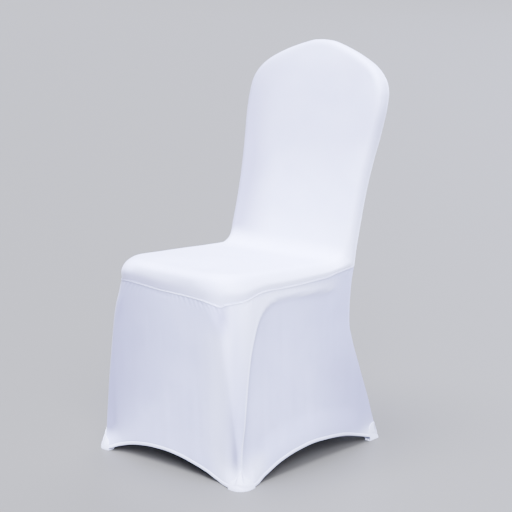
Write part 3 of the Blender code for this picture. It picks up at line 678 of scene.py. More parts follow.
def soften_corners(grid, signed):
    """Let the front turn gradually into the corners over its legs."""
    step = np.abs(signed)
    share = ramp(step, FRONT_STEPS - 3.5, FRONT_STEPS - 1)
    share = share * fade(step, FRONT_STEPS + 1.5, FRONT_STEPS + 4.5)
    height = grid[..., 2:]
    weight = 0.5 * share[None, :, None] * ramp(height, 0.03, 0.10)
    weight = weight * ramp(height[:1] - height, 0.0, 0.04)
    plan = grid[..., :2].copy()
    for _ in range(SOFTENING):
        middle = (plan[:, :-2] + plan[:, 2:]) / 2
        plan[:, 1:-1] += weight[:, 1:-1] * (middle - plan[:, 1:-1])
    grid[..., :2] = plan
    return grid


def seam_bead(below):
    """How far the turned seam allowance stands out just below the seat seam."""
    return 0.0012 * ramp(below, 0, 0.0020) * fade(below, 0.0020, 0.0060)


# Small creases below the seat seam: place along it, length, depth, distance below and slope
SEAM_CREASES = (
    (-0.010, 0.045, 0.0007, 0.011, 0.05), (0.105, 0.020, 0.0006, 0.010, 0.25),
    (0.215, 0.020, 0.0007, 0.011, -0.30), (-0.160, 0.020, 0.0005, 0.010, -0.20),
    (0.400, 0.040, 0.0006, 0.010, 0.08), (-0.350, 0.040, 0.0006, 0.011, -0.06),
)
# Tucks in the seam at the right corner: places along it
SEAM_TUCKS = (0.150, 0.172)
GATHER_PITCH = 0.0135
# Folds round the front feet: distance from the foot's corner, depth and width
FOOT_FOLDS = ((0.026, 0.0019, 0.015), (0.052, -0.0008, 0.016))


def skirt_places(grid, signed):
    """Coordinates of the skirt's points, and their side: 1 right, -1 left."""
    x, y, z = grid[..., 0], grid[..., 1], grid[..., 2]
    return x, y, z, np.sign(signed)[None] + np.zeros_like(z)


def skirt_folds(grid, signed):
    """Soft troughs and ridges of the skirt, as distances along the cloth's normal."""
    x, y, z, side = skirt_places(grid, signed)
    along = seat_seam_plan(np.abs(signed)[None] + np.zeros_like(z))[2]
    place = along * side
    below = SEAT_SEAM.read("height", place) - z

    gather = np.sin(place * 2 * math.pi / GATHER_PITCH + 3 * uneven(grid, 0.05, 1))
    gather = gather * (0.5 + 0.5 * uneven(grid * (1, 1, 0), 0.09, 2))
    move = 0.0006 * gather * ramp(below, 0.001, 0.004) * fade(below, 0.006, 0.030)
    for centre, length, depth, at, slope in SEAM_CREASES:
        line = below - at - slope * (place - centre)
        move -= depth * bump(line, 0, 0.0016) * bump(place, centre, length)
    for centre in SEAM_TUCKS:
        move += 0.0014 * bump(place, centre, 0.0045) * bump(below, 0.003, 0.005)
    move += 0.0009 * uneven(grid * (1, 1, 0.22), 0.045, 3) * ramp(below, 0.02, 0.08)
    move += 0.0006 * uneven(grid * (1, 1, 0.10), 0.018, 4) * ramp(below, 0.02, 0.10)

    from_foot = np.hypot(x - side * FRONT_FOOT[0], y - FRONT_FOOT[1])
    for reach, depth, width in FOOT_FOLDS:
        move -= depth * bump(from_foot, reach, width) * bump(z, 0.085, 0.050)
    return move


def skirt_shade(grid, signed):
    """Painted shade on the skirt, from 0 to 1: under the seat seam, below the crease, by the legs
    and over the front's left part.
    """
    x, y, z, side = skirt_places(grid, signed)
    on_side = (np.abs(signed) > SKIRT_SIDE)[None]
    reach = y - FRONT_FOOT[1] - (FRONT_FOOT[0] - side * x)
    front = bump(reach, -0.017, 0.012) * bump(z, 0.068, 0.034)
    behind = bump(reach, 0.024, 0.011) * bump(z, 0.090, 0.040)
    leg = bump(reach, -0.016, 0.018) * ramp(z, 0.03, 0.07) * (1 - 0.5 * ramp(z, 0.15, 0.25))
    under = bump(reach, -0.055, 0.019) * bump(z, 0.368, 0.034)
    inside = past_crease(y, z)
    below_edge = bump(inside, 0.0055, 0.0060) * ramp(z, 0.05, 0.12) * fade(y, 0.09, 0.14)
    before_rear = np.interp(z, *LEG_SEAM_DEPTH) - y
    rear = fade(before_rear, 0.02, 0.23) * ramp(z, 0.015, 0.05) * (1 - 0.5 * ramp(z, 0.15, 0.30))
    low = bump(z, 0.075, 0.030) * bump(y, 0.07, 0.08)
    width = TURNED_WIDTH * (0.40 + 0.60 * ramp(z, 0.05, 0.20))
    turned = fade((x - TURNED_FROM) / width, 0, 1) * fade(y, -0.21, -0.10) * ramp(z, 0.03, 0.07)
    around = 0.42 * front + 0.26 * behind + 0.44 * leg + 0.82 * under + turned
    return np.clip(around + (0.78 * rear + 0.16 * below_edge + 0.24 * low) * on_side, 0, 1)


def skirt_light(grid, signed):
    """Where the skirt is lighter, from 0 to 1: round the feet, where the pockets double the cloth,
    with painted light there; painted highlight along the crease, painted light on the front's right
    part, the corners and below the seat seam.
    """
    x, y, z, side = skirt_places(grid, signed)
    across = side * x
    apart = np.hypot(FRONT_FOOT[0] - across, y - FRONT_FOOT[1])
    feet = fade(apart, 0.050, 0.115) * fade(z, 0.030 + 0.25 * np.maximum(apart - 0.02, 0), 0.085)
    feet = feet * (0.12 + 0.88 * ramp(x, -0.15, 0.0))
    behind = np.hypot(REAR_FOOT[0] - across, y - REAR_FOOT[1])
    feet = np.maximum(feet, fade(behind, 0.035, 0.080) * fade(z, 0.030, 0.075))
    inside = past_crease(y, z)
    near_side = (np.abs(signed) > SKIRT_SIDE - 2)[None]
    edge = bump(inside, -0.0012, 0.0022) * ramp(z, 0.035, 0.06) * fade(y, 0.10, 0.14) * near_side
    panel = bump(x, 0.153, 0.044) * fade(y, -0.228, -0.205)
    panel = panel * ramp(z, 0.04, 0.08) * fade(z, 0.32, 0.37)
    corner = bump(y, -0.175, 0.055) * ramp(across, 0.14, 0.18)
    corner = corner * ramp(z, 0.12, 0.36) * fade(inside, -0.004, 0.002)
    rim = bump(inside, -0.014, 0.013) * ramp(z, 0.34, 0.385)
    rim = rim * ramp(across, 0.17, 0.20) * fade(y, 0.08, 0.15)
    return np.clip(0.85 * feet + 0.95 * edge + 0.50 * panel + corner + 0.95 * rim, 0, 1)


def build_skirt(material, thread):
    """Skirt: one cloth round the front and both sides, from the seat seam to the hems."""
    grid, signed, downs = skirt_rows()
    grid = soften_corners(grid, signed)
    above = grid[..., 2] - grid[-1, :, 2]
    below = grid[:1, :, 2] - grid[..., 2]
    folds = skirt_folds(grid, signed) * (1 - 0.7 * bump(above, 0, 0.012))
    move = folds + hem_profile(above) + seam_bead(below)
    steps = fine_steps(0, JOIN, SKIRT_FINE)
    pulls = np.concatenate([seam_loop(steps, -1)[2][:0:-1], seam_loop(steps)[2]])
    top = draw_in(grid[0], grid[1], pulls)
    lengths = cloth_lengths(grid)
    for column, inner, side in ((0, 1, -1), (-1, -2, 1)):
        pull = leg_seam_normals(grid[:, column] * (side, 1, 1)) * (side, 1, 1)
        sunk = SEAM_RISE * ramp(downs[:, column], *RIDGE_ENDS)
        moved = draw_in(grid[:, column], grid[:, inner], pull) - pull * sunk[:, None]
        top[column] += moved[0] - grid[0, column] - pull[0] * SEAM_RISE
        grid[:, column] = moved
    grid[0] = top
    sheet = Sheet()
    index = sheet.add_rows(grid, lengths, flip=True)
    sheet.hold(index[0], pulls)
    for column, side in ((0, -1), (-1, 1)):
        pull = leg_seam_normals(grid[:, column] * (side, 1, 1)) * (side, 1, 1)
        sheet.hold(index[:, column], pull)
    sheet.hem = index[above < HEM_WIDTH]
    move[0] = 0
    move[:, [0, -1]] = hem_profile(above[:, [0, -1]])
    # Doubled tone: the doubled hem, the seat seam's bead where its allowance doubles the cloth,
    # with painted highlight, and skirt_light's painted light; shade tone: painted shade
    doubled = np.maximum(hem_light(above), 0.95 * fade(below, 0.0022, 0.0036))
    doubled = np.maximum(doubled, skirt_light(grid, signed))
    sheet.tones = {"doubled": doubled.ravel(), "shade": skirt_shade(grid, signed).ravel()}
    cloth = thicken("skirt_cloth", sheet, material, move.ravel())
    row = index[HEM_STITCH_ROW - len(BOTTOM_ROWS), 12:-12]
    return cloth, stitch_row("skirt_hem_stitches", sheet.outer[row], sheet.outward[row], thread,
                             *HEM_STITCH)


# Angles up the rolled edge: below its fullest place, then on to the face
ROLL_ANGLES = (-ROLL_UNDERCUT, -0.435, -0.42, -0.395, -0.365, -0.33, -0.29, -0.24,
               *np.linspace(-0.18, math.pi / 2, 16))

# Painted shade above the seat seam's front, by the place across
BAND_PLACES = np.array([-0.20, -0.14, -0.07, 0.0, 0.07, 0.15])
BAND_SHADE = np.array([1.0, 1.0, 1.0, 0.80, 0.45, 0.0])


def front_band(points, seam):
    """Painted shade beside the seat seam's front: nearness to the seam, from 1 at the seam, times
    its shade across.
    """
    nearest = np.full(len(points), 1.0)
    low = points[:, 2] < 0.56
    reach = points[low][:, None, :] - seam[None, ::3]
    nearest[low] = np.sqrt((reach ** 2).sum(-1)).min(1)
    ahead = ramp(-points[:, 1], 0.12, 0.20)
    share = smooth(BAND_PLACES, BAND_SHADE, points[:, 0])
    return fade(nearest / (0.5 + 0.5 * ahead), 0.010, 0.030) * ahead * share


def back_shade(points):
    """Painted shade on the back's face: its middle height, and more towards its left edge."""
    x, z = points[:, 0], points[:, 2]
    from_left = x + np.interp(z, OUTLINE_POINTS[:, 1], OUTLINE_POINTS[:, 0])
    rim = 0.9 * ramp(x, 0.12, 0.19) * (1 - bump(z, 0.76, 0.07))
    middle = 0.46 * ramp(z, 0.56, 0.72) * (1 - 0.9 * ramp(z, 0.86, 0.93)) * (1 - rim)
    low = fade(z, 0.60, 0.74)
    left = fade(from_left, 0.0, 0.12 + 0.03 * low) * ramp(z, 0.455, 0.50) * fade(z, 0.78, 0.91)
    return np.clip(middle + (0.66 + 0.50 * low) * left, 0, 1)


def relax(points, quads, weight, rounds):
    """Points drawn towards the mean of their neighbours, as far as their weight says."""
    one, other = np.concatenate([quads[:, [k, (k + 1) % 4]] for k in range(4)]).T
    count = np.bincount(np.concatenate([one, other]))[:, None]
    points = points.copy()
    for _ in range(rounds):
        total = [np.bincount(one, points[other, k], len(points))
                 + np.bincount(other, points[one, k], len(points)) for k in range(3)]
        points += 0.5 * weight[:, None] * (np.stack(total, -1) / count - points)
    return points


def roll_rows(start, reach, outward, steps):
    """Rows of the rolled edge, up from the seam by its reach, at steps all round."""
    out = (reach * outward).sum(-1, keepdims=True) * outward
    low = 1 - math.cos(ROLL_UNDERCUT)
    square = SQUARE_FRONT * fade(steps, FRONT_STEPS - 4, FRONT_STEPS)
    square -= ROUND_SIDE * ramp(steps, FRONT_STEPS, SKIRT_SIDE) * fade(steps, LAP_START, LAP_END)
    flat = 1 - 0.7 * fade(steps, LAP_START - 2, LAP_END)
    bulge = low / (1 - low) * flat
    rows = []
    for angle in ROLL_ANGLES:
        rise = (math.sin(angle) + math.sin(ROLL_UNDERCUT)) / (1 + math.sin(ROLL_UNDERCUT))
        if angle < 0:
            inward = (1 - math.cos(angle) - low) / (1 - low) * flat
        else:
            inward = (1 + bulge) * (1 - math.cos(angle)) ** (1 + square) - bulge
        rows.append(start + (reach - out) * rise + out * inward[:, None])
    return np.array(rows)


def face_grid(across, along):
    """The face within the rolled edge, as places across and along."""
    corner, shoulder, crown = SKIRT_CORNER * FINE, SHOULDER * FINE, CROWN * FINE
    edge = np.stack([across, along], -1)
    bottom = np.concatenate([mirror_x(edge[corner:0:-1]), edge[: corner + 1]])
    top = np.concatenate([mirror_x(edge[shoulder:crown]), edge[crown : shoulder - 1 : -1]])
    spread, places = np.linspace(0, 1, len(bottom)), np.linspace(0, 1, len(top))
    top = np.stack([np.interp(spread, places, top[:, k]) for k in (0, 1)], -1)
    side_edge = edge[corner : shoulder + 1]
    return coons(bottom, top, mirror_x(side_edge), side_edge)


def face_index(ring, shape):
    """Index of the face's grid: the rolled edge's last row round it, -1 within."""
    corner, crown = SKIRT_CORNER * FINE, CROWN * FINE
    index = -np.ones(shape, int)
    front, up = np.arange(-corner, corner + 1), np.arange(shape[0])
    index[0], index[-1] = ring[front], ring[crown - front]
    index[:, -1], index[:, 0] = ring[corner + up], ring[-corner - up]
    return index


def build_front(material):
    """Seat top and inside back: a rolled edge all round and the face within it."""
    steps = fine_steps(0, CROWN)
    across, along = roll_edge(steps)

    def ring(one, other):
        return np.concatenate([one, other[-2:0:-1]])

    start, side, pull = map(ring, seam_loop(steps), seam_loop(steps, -1))
    reach = raise_face(ring(across, -across), ring(along, along)) - start
    steps_round = ring(steps, steps)
    rows = roll_rows(start, reach, side, steps_round)
    away = np.linalg.norm(np.diff(rows, axis=0, prepend=rows[:1]), axis=-1).cumsum(0)
    on_back = ramp(steps_round, LAP_START + 1, LAP_END)[None]
    rows[0] = draw_in(rows[0], rows[1], pull, closed=True)
    sheet = Sheet()
    band = sheet.add_rows(rows, cloth_lengths(rows), closed=True)
    flat = face_grid(across, along)
    index = face_index(band[-1], flat.shape[:2])
    sheet.add_grid(raise_face(flat[..., 0], flat[..., 1]), flat, index)
    sheet.hold(band[0], pull)

    weight = np.zeros(len(sheet.points))
    weight[band] = ramp(np.arange(len(rows)), len(rows) - 9, len(rows) - 2)[:, None]
    j, i = np.indices(index.shape)
    border = np.minimum(np.minimum(j, j[::-1]), np.minimum(i, i[:, ::-1]))
    weight[index] = np.maximum(weight[index], fade(border, 3, 9))
    sheet.points = relax(sheet.points, sheet.quads, weight, 30)

    points = sheet.points
    y, z = points[:, 1], points[:, 2]
    move = 0.0007 * uneven(points, 0.075, 7)
    move[band] += 0.0011 * ramp(away, 0, 0.0018) * fade(away, 0.0018, 0.0050) * on_back
    move[band[0]] = 0
    # Shade tone: painted shade by the seat seam and on the back's face; doubled tone: lighter along
    # the back's seam, and painted light at the lap and on the seat's right side band
    shade = front_band(points, start) * np.clip(1 - (z - 0.50) / 0.05, 0, 1)
    edge = np.zeros(len(points))
    edge[band] = fade(away, 0.0024, 0.0038) * on_back
    lap = 0.8 * bump(z, 0.490, 0.055) * ramp(y, 0.05, 0.12)
    side_band = bump(z, 0.435, 0.018) * ramp(points[:, 0], 0.13, 0.18)
    sheet.tones = {"shade": np.maximum(shade, back_shade(points)),
                   "doubled": np.clip(lap + edge + side_band, 0, 1)}
    return thicken("front_cloth", sheet, material, move)


def rear_depth(across, height, leg):
    """Depth of the outside back's cloth at a place across and a height."""
    line = leg[::-1]
    depth = np.interp(height, line[:, 2], line[:, 1])
    width = np.interp(height, line[:, 2], line[:, 0])
    outline = back_outline(np.linspace(JOIN, CROWN, 400))
    above = height > SEAM_JOIN_HEIGHT
    edge = np.where(above, rear_plane(height), depth)
    half = np.where(above, np.interp(height, outline[:, 2], outline[:, 0]), width)
    half = np.maximum(half, LEAST_HALF_WIDTH)
    inside = np.clip(1 - (across / half) ** 2, 0, 1)
    near_crown = ramp(outline[-1, 2] - height, 0, BACK_CROWN_FADE)
    return edge + REAR_BRIDGE.read("out", height) * inside * np.where(above, near_crown, 1)


def build_back(material, thread):
    """Outside back, from the crown to the hem between the rear feet."""
    downs = skirt_downs(np.array([float(JOIN)]), 1)[:, 0]
    leg = leg_seam_line(downs)
    upper, _, upper_seam = seam_loop(fine_steps(JOIN, SHOULDER)[::-1])
    right = np.concatenate([upper, leg[1:]])
    right_pull = np.concatenate([upper_seam, leg_seam_normals(leg)[1:]])
    crown, _, crown_seam = seam_loop(fine_steps(SHOULDER, CROWN))
    crown = np.concatenate([mirror_x(crown), crown[-2::-1]])
    crown_pull = np.concatenate([mirror_x(crown_seam), crown_seam[-2::-1]])
    spread = np.linspace(-1, 1, len(crown))
    hem_z = REAR_HEM.read("height", spread) + SKIRT_CLEAR
    hem = np.stack([spread * right[-1, 0], np.full(len(spread), right[-1, 1]), hem_z], -1)
    way = distances(right)
    plan = [0, 2]
    left = mirror_x(right)
    flat = coons(crown[:, plan], hem[:, plan], left[:, plan], right[:, plan], v=way / way[-1])
    across, height = flat[..., 0], flat[..., 1]
    grid = np.stack([across, rear_depth(across, height, leg), height], -1)
    grid[:, 0], grid[:, -1], grid[0] = left, right, crown
    lengths = cloth_lengths(grid)
    above = grid[..., 2] - hem_z[None]
    top = draw_in(grid[0], grid[1], crown_pull)
    sunk = np.zeros(len(right))
    sunk[-len(downs):] = SEAM_RISE * ramp(downs, *RIDGE_ENDS)
    for column, inner, side in ((0, 1, -1), (-1, -2, 1)):
        pull = right_pull * (side, 1, 1)
        moved = draw_in(grid[:, column], grid[:, inner], pull)
        grid[:, column] = moved - pull * sunk[:, None]
    grid[0] = top
    sheet = Sheet()
    index = sheet.add_rows(grid, lengths)
    sheet.hold(index[0], crown_pull)
    sheet.hold(index[:, -1], right_pull)
    sheet.hold(index[:, 0], mirror_x(right_pull))
    sheet.hem = index[above < HEM_WIDTH]
    move = 0.0007 * uneven(grid, 0.08, 11) + 0.0005 * uneven(grid * (1, 1, 0.15), 0.03, 12)
    move[0] = 0
    move[:, [0, -1]] = 0
    move += hem_profile(above)
    feet = fade(REAR_FOOT[0] - np.abs(grid[..., 0]), 0.035, 0.080)
    feet = feet * fade(grid[..., 2], 0.030, 0.075)
    sheet.tones = {"doubled": np.maximum(hem_light(above), 0.8 * feet).ravel()}
    cloth = thicken("back_cloth", sheet, material, move.ravel())
    row = index[HEM_STITCH_ROW - len(BOTTOM_ROWS), 10:-10]
    return cloth, stitch_row("back_hem_stitches", sheet.outer[row], sheet.outward[row], thread,
                             *HEM_STITCH)


def pocket_height(share):
    """Share of a foot pocket's full height, from one end of it to the other."""
    return POCKET_END + (1 - POCKET_END) * np.sin(math.pi * share).clip(0, 1) ** 0.6


def pocket_wall(side, front):
    """Cloth of the skirt round a foot's corner, and behind a rear foot too."""
    if front:
        steps = np.linspace(FRONT_STEPS - 1, SKIRT_SIDE + 1, 57)
        share = np.linspace(0, 1, len(steps))
        tall = (1 - POCKET_TOP) * pocket_height(share) + POCKET_RISE * bump(share, 0.70, 0.13)
    else:
        steps = np.linspace(JOIN - 1, JOIN, 20)
        tall = (1 - POCKET_TOP) * pocket_height(np.linspace(0, 0.5, len(steps)))
    up = np.linspace(0, 1, POCKET_ROWS)[:, None]
    cloth = skirt_section(steps[None], 1 - tall + tall * up, side)
    if front:
        return cloth
    inward = np.linspace(0, REAR_POCKET_REACH, 22)[1:]
    hem = REAR_HEM.read("height", side * (1 - inward / REAR_FOOT[0]))
    behind = cloth[:, -1:] - inward[None, :, None] * (side, 0, 0)
    foot = behind[-1:, :, 2]
    full = behind[..., 2] - foot
    height = full * pocket_height(0.5 + inward / (2 * REAR_POCKET_REACH))
    behind[..., 1] = np.interp(behind[..., 2] - (full - height), *LEG_SEAM_DEPTH)
    behind[..., 2] = foot + height + up ** 3 * hem
    return np.concatenate([cloth, behind], 1)


def wall_normals(grid, side):
    """Outward directions in plan at the points of a foot's cloth."""
    along = np.gradient(grid[:, :, :2], axis=1)
    turned = unit(np.stack([along[..., 1], -along[..., 0]], -1)) * side
    return np.concatenate([turned, np.zeros(turned.shape[:2] + (1,))], -1)


# Creases up a foot pocket: place across, slant and width
FRONT_POCKET_CREASES = ((0.24, 0.06, 0.042), (0.60, -0.07, 0.038))
REAR_POCKET_CREASES = ((0.45, 0.04, 0.05),)


def build_pocket(name, side, front, material, thread):
    """Foot pocket: a doubled wall round the foot, a sole under it and a low lip."""
    cloth = pocket_wall(side, front)
    away = wall_normals(cloth, side)
    rows, columns = cloth.shape[:2]
    u = np.linspace(0, 1, columns)[None]
    v = np.linspace(0, 1, rows)[:, None]
    # dark: painted shade along the pocket's creases and its low fold
    fold, dark = np.zeros((rows, columns)), np.zeros((rows + 3, columns))
    for place, slant, width in FRONT_POCKET_CREASES if front else REAR_POCKET_CREASES:
        line = u + slant * v
        crease = bump(line, place, width)
        fold -= 0.0016 * crease * (0.35 + 0.65 * bump(v, 0.25, 0.45))
        fold += 0.0011 * bump(line, place + 2.2 * width, width) * bump(v, 0.3, 0.4)
        dark[:rows] += crease * bump(v, 0.36, 0.30)
    wave = v + 0.10 * np.sin(u * 5 + side)
    fold -= 0.0008 * bump(wave, 0.76, 0.07) * np.sin(u * math.pi) + 0.0005 * bump(v, 0.13, 0.035)
    dark[:rows] += 0.45 * bump(wave, 0.78, 0.06) * np.sin(u * math.pi)

    out = POCKET_OUT + np.maximum(fold, -POCKET_HOLLOW_MOST)
    outer = cloth + away * (out + CLOTH)[..., None]
    inner = cloth + away * out[..., None] * 0.9
    first, last = cloth[-1, 0], cloth[-1, -1]
    share = np.linspace(LIP_FROM, 1 - LIP_FROM, columns)[:, None]
    inward = unit(-(first + last) * (1, 1, 0))
    lip = (first + (last - first) * share) * (1, 1, 0) + inward * POCKET_DEPTH
    up = np.array([0, 0, 1])
    behind = lip - inward * CLOTH
    outer = np.concatenate([outer, outer[-1:] * (1, 1, 0), [lip, lip + up * POCKET_LIP]])
    inner = np.concatenate([inner, inner[-1:] * (1, 1, 0) + up * CLOTH,
                            [behind + up * CLOTH, behind + up * POCKET_LIP]])
    quads = grid_quads(np.arange(outer.shape[0] * columns).reshape(-1, columns))
    faces = shell_faces(quads[:, ::-1] if side > 0 else quads, outer.shape[0] * columns)
    points = np.concatenate([outer.reshape(-1, 3), inner.reshape(-1, 3)])
    lengths = cloth_lengths(outer).reshape(-1, 2)
    pocket = add_object(name, points, faces, material, lengths, {"shade": dark.ravel()}, 40)
    line, normals = outer[2, 2:-2], away[2, 2:-2]
    return pocket, stitch_row(name + "_stitches", line, normals, thread, *POCKET_STITCH)


# Pitch, length and width of the stitches, and one stitch's points along, across and up
HEM_STITCH = (0.0030, 0.0021, 0.00032)
POCKET_STITCH = (0.0026, 0.0018, 0.00028)
STITCH_POINTS = np.array([(-0.5, 0, 0), (-0.3, 1, 0.2), (-0.3, 0, 1), (-0.3, -1, 0.2),
                          (0.3, 1, 0.2), (0.3, 0, 1), (0.3, -1, 0.2), (0.5, 0, 0)])
STITCH_FACES = ((0, 2, 1), (0, 3, 2), (1, 2, 5, 4), (2, 3, 6, 5), (4, 5, 7), (5, 6, 7))
STITCH_PROBE = 0.0005


def stitch_row(name, line, normals, material, pitch, length, width):
    """Small thread stitches lying along a line on the cloth."""
    reach = distances(line)
    centres = np.arange(pitch / 2, reach[-1], pitch)

    def read(values, at):
        return np.stack([np.interp(at, reach, values[:, k]) for k in range(3)], -1)

    run = read(line, centres + STITCH_PROBE) - read(line, centres - STITCH_PROBE)
    run, up = unit(run + 1e-9), unit(read(normals, centres))
    axes = np.stack([run * length, unit(np.cross(up, run)) * width, up * width], 1)
    points = read(line, centres)[:, None] + STITCH_POINTS @ axes
    faces = [[8 * k + n for n in face] for k in range(len(centres)) for face in STITCH_FACES]
    return add_object(name, points.reshape(-1, 3), faces, material)


def wire(tree, kind, inputs=None, **settings):
    """New node with its settings; each of its inputs is a value or another node's output."""
    made = tree.nodes.new(kind)
    for name, value in settings.items():
        setattr(made, name, value)
    for name, value in (inputs or {}).items():
        if isinstance(value, bpy.types.NodeSocket):
            tree.links.new(value, made.inputs[name])
        else:
            made.inputs[name].default_value = value
    return made


def new_material(name):
    """Material with its node tree and its shader."""
    material = bpy.data.materials.new(name)
    material.use_nodes = True
    return material, material.node_tree, material.node_tree.nodes["Principled BSDF"]


def tone_ramp(tree, share, dark, light, start=0.0, end=1.0):
    """Colour that goes from dark to light with a share."""
    tone = wire(tree, "ShaderNodeValToRGB", {"Fac": share})
    for element, place, colour in zip(tone.color_ramp.elements, (start, end), (dark, light)):
        element.position = place
        element.color = (*colour, 1)
    return tone.outputs["Color"]


def blend_tone(tree, attribute, colour, other, most):
    """Colour mixed towards another where the mesh attribute says so."""
    source = wire(tree, "ShaderNodeAttribute", attribute_name=attribute).outputs["Fac"]
    share = wire(tree, "ShaderNodeMath", {0: source, 1: most}, operation="MULTIPLY")
    inputs = {0: share.outputs[0], 6: colour, 7: (*other, 1)}
    return wire(tree, "ShaderNodeMix", inputs, data_type="RGBA").outputs[2]


# Painted tones: lighter for doubled cloth and painted light, darker for painted shade as shares of
# the dark colour
DOUBLED_AND_PAINTED_LIGHT_TONE = (0.86, 0.88, 0.96)
SHADE_SHARES = (0.53, 0.50, 0.55)
WALE = 0.0011


def knit(name, dark, light, roughness):
    """Smooth stretch knit: fine wales and courses, slow tone changes and a satin sheen."""
    material, tree, shader = new_material(name)
    shader.inputs["Sheen Weight"].default_value = 0.25
    shader.inputs["Sheen Roughness"].default_value = 0.35
    shader.inputs["Specular IOR Level"].default_value = 0.42
    place = wire(tree, "ShaderNodeTexCoord").outputs["Object"]
    cloth = wire(tree, "ShaderNodeUVMap", uv_map="cloth").outputs["UV"]

    def uneven_by(scale, detail):
        inputs = {"Vector": place, "Scale": scale, "Detail": detail}
        return wire(tree, "ShaderNodeTexNoise", inputs).outputs["Fac"]

    def ribs(way, pairs, distortion):
        inputs = {"Vector": cloth, "Scale": 1 / WALE / 2 / math.pi * pairs,
                  "Distortion": distortion, "Detail": 1.0}
        return wire(tree, "ShaderNodeTexWave", inputs, bands_direction=way).outputs["Fac"]

    slow = uneven_by(14.0, 3.0)
    mixed = wire(tree, "ShaderNodeMath", {0: uneven_by(900.0, 2.0), 1: 0.25, 2: slow},
                 operation="MULTIPLY_ADD")
    tone = tone_ramp(tree, mixed.outputs[0], dark, light, 0.40, 0.78)
    # Lighter where the doubled tone says, for doubled cloth and painted light; darker where the
    # shade tone says, for painted shade
    tone = blend_tone(tree, "doubled", tone, DOUBLED_AND_PAINTED_LIGHT_TONE, 0.85)
    shade = [part * share for part, share in zip(dark, SHADE_SHARES)]
    tree.links.new(blend_tone(tree, "shade", tone, shade, 0.9), shader.inputs["Base Color"])
    limits = {"Value": slow, "To Min": roughness - 0.05, "To Max": roughness + 0.06}
    rough = wire(tree, "ShaderNodeMapRange", limits)
    tree.links.new(rough.outputs["Result"], shader.inputs["Roughness"])
    weave = wire(tree, "ShaderNodeMath", {0: ribs("X", 2, 0.6), 1: ribs("Y", 2.6, 0.9)},
                 operation="MULTIPLY")
    relief = wire(tree, "ShaderNodeBump",
                  {"Strength": 0.5, "Distance": 0.00012, "Height": weave.outputs[0]})
    soft = wire(tree, "ShaderNodeBump",
                {"Strength": 0.25, "Distance": 0.0012, "Height": uneven_by(45.0, 2.0),
                 "Normal": relief.outputs["Normal"]})
    tree.links.new(soft.outputs["Normal"], shader.inputs["Normal"])
    return material


def facing(back, place):
    """Matrix of a camera or light at a place that looks away from its back."""
    right = unit(np.cross([0, 1, 0] if abs(back[2]) > 0.99 else [0, 0, 1], back))
    columns = np.column_stack([right, np.cross(back, right), back, place])
    return Matrix(np.vstack([columns, [0, 0, 0, 1]]).tolist())


# The photograph's camera: angles, distance from its aim, and focal length in pixels
AZIMUTH = math.radians(43.513)
ELEVATION = math.radians(11.05)
DISTANCE = 8.714
AIM = (-3.387, 3.623 - MIDDLE, -0.512)
FOCAL = 1583.026
PICTURE = 512
SENSOR = 36


def add_camera():
    """Camera at the photograph's angle."""
    level = math.cos(ELEVATION)
    back = np.array([math.sin(AZIMUTH) * level, -math.cos(AZIMUTH) * level, math.sin(ELEVATION)])
    data = bpy.data.cameras.new("camera")
    data.sensor_width = SENSOR
    data.lens = FOCAL * SENSOR / PICTURE
    data.clip_end = 200
    camera = bpy.data.objects.new("camera", data)
    camera.matrix_world = facing(back, np.array(AIM) + back * DISTANCE)
    bpy.context.scene.collection.objects.link(camera)
    bpy.context.scene.camera = camera


# Soft lights: name, place that it comes from, spread in degrees, strength and colour
LIGHTS = (
    ("key", (2.5, -2.05, 2.2), 35, 14.6, (0.62, 0.66, 1.0)),
    ("top", (-0.2, -0.3, 3.0), 50, 27.6, (0.64, 0.68, 1.0)),
    ("rear_fill", (-0.9, 3.0, 1.9), 45, 3.7, (0.64, 0.68, 1.0)),
)
SKY = (0.52, 0.575, 1.0)
SKY_STRENGTH = 0.43
FLOOR_TONE = (0.1045, 0.098, 0.068)


def add_light(name, place, spread, strength, colour):
    """Soft light that comes evenly from a place towards the middle of the cover."""
    data = bpy.data.lights.new(name, "SUN")
    data.angle = math.radians(spread)
    data.energy = strength
    data.color = colour
    light = bpy.data.objects.new(name, data)
    light.matrix_world = facing(unit(place), place)
    bpy.context.scene.collection.objects.link(light)


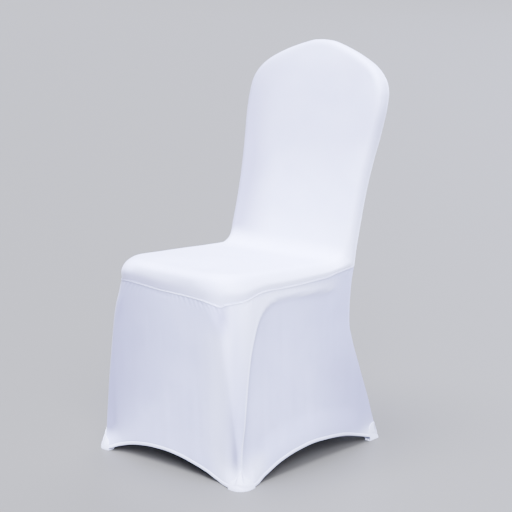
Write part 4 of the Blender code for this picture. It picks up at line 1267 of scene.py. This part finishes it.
def add_studio():
    """Plain pale floor that rises into a far backdrop, and soft studio light."""
    bend = np.linspace(0, math.pi / 2, 13)
    radius = np.concatenate([[0.01, 4, 12, 24], 34 + 14 * np.sin(bend), [48]])[:, None]
    height = np.concatenate([[0, 0, 0, 0], 8 - 8 * np.cos(bend), [13]])[:, None]
    turn = np.linspace(0, 2 * math.pi, 97)[:-1]
    rows = np.stack([radius * np.cos(turn), radius * np.sin(turn), height + 0 * turn], -1)
    index = np.arange(rows.shape[0] * rows.shape[1]).reshape(rows.shape[:2])
    floor = add_object("studio_floor", rows.reshape(-1, 3), grid_quads(index[::-1], closed=True),
                       plain("pale_floor", FLOOR_TONE))
    world = bpy.data.worlds.new("studio")
    world.use_nodes = True
    background = world.node_tree.nodes["Background"]
    background.inputs["Color"].default_value = (*SKY, 1)
    background.inputs["Strength"].default_value = SKY_STRENGTH
    bpy.context.scene.world = world
    for light in LIGHTS:
        add_light(*light)


def plain(name, colour):
    """Plain material with a slow, slight change of tone."""
    material, tree, shader = new_material(name)
    shader.inputs["Roughness"].default_value = 0.6
    grain = wire(tree, "ShaderNodeTexNoise", {"Scale": 3.0, "Detail": 3.0}).outputs["Fac"]
    tone = tone_ramp(tree, grain, [part * 0.97 for part in colour], colour)
    tree.links.new(tone, shader.inputs["Base Color"])
    return material


face_knit = knit("knit_face", (0.74, 0.755, 0.90), (0.80, 0.815, 0.94), 0.46)
back_knit = knit("knit_back", (0.74, 0.755, 0.90), (0.80, 0.815, 0.94), 0.48)
# The skirt's darker base colour: a single thin cloth, and painted shade of the dark space under the
# seat behind it
skirt_knit = knit("knit_skirt", (0.55, 0.560, 0.75), (0.60, 0.610, 0.80), 0.46)
doubled_knit = knit("knit_doubled", (0.82, 0.84, 0.93), (0.87, 0.89, 0.96), 0.50)
thread = plain("sewing_thread", (0.80, 0.82, 0.92))

skirt, skirt_stitches = build_skirt(skirt_knit, thread)
front = build_front(face_knit)
back, back_stitches = build_back(back_knit, thread)
made = [(skirt, "skirt", "white_knit_skirt"), (front, "front_panel", "white_knit_front"),
        (back, "back_panel", "white_knit_back")]
sewing = [(skirt_stitches, "white_knit_skirt"), (back_stitches, "white_knit_back")]
for side, word in ((1, "right"), (-1, "left")):
    for is_front, end in ((True, "front"), (False, "rear")):
        name = f"pocket_{end}_{word}"
        pocket, stitches = build_pocket(name, side, is_front, doubled_knit, thread)
        made.append((pocket, "foot_" + name, "white_knit_doubled"))
        sewing.append((stitches, "white_knit_doubled"))
for piece, node_name, slot in made:
    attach(piece, "root")
    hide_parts(node_name)
for stitches, slot in sewing:
    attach(stitches, "root")
add_camera()
add_studio()
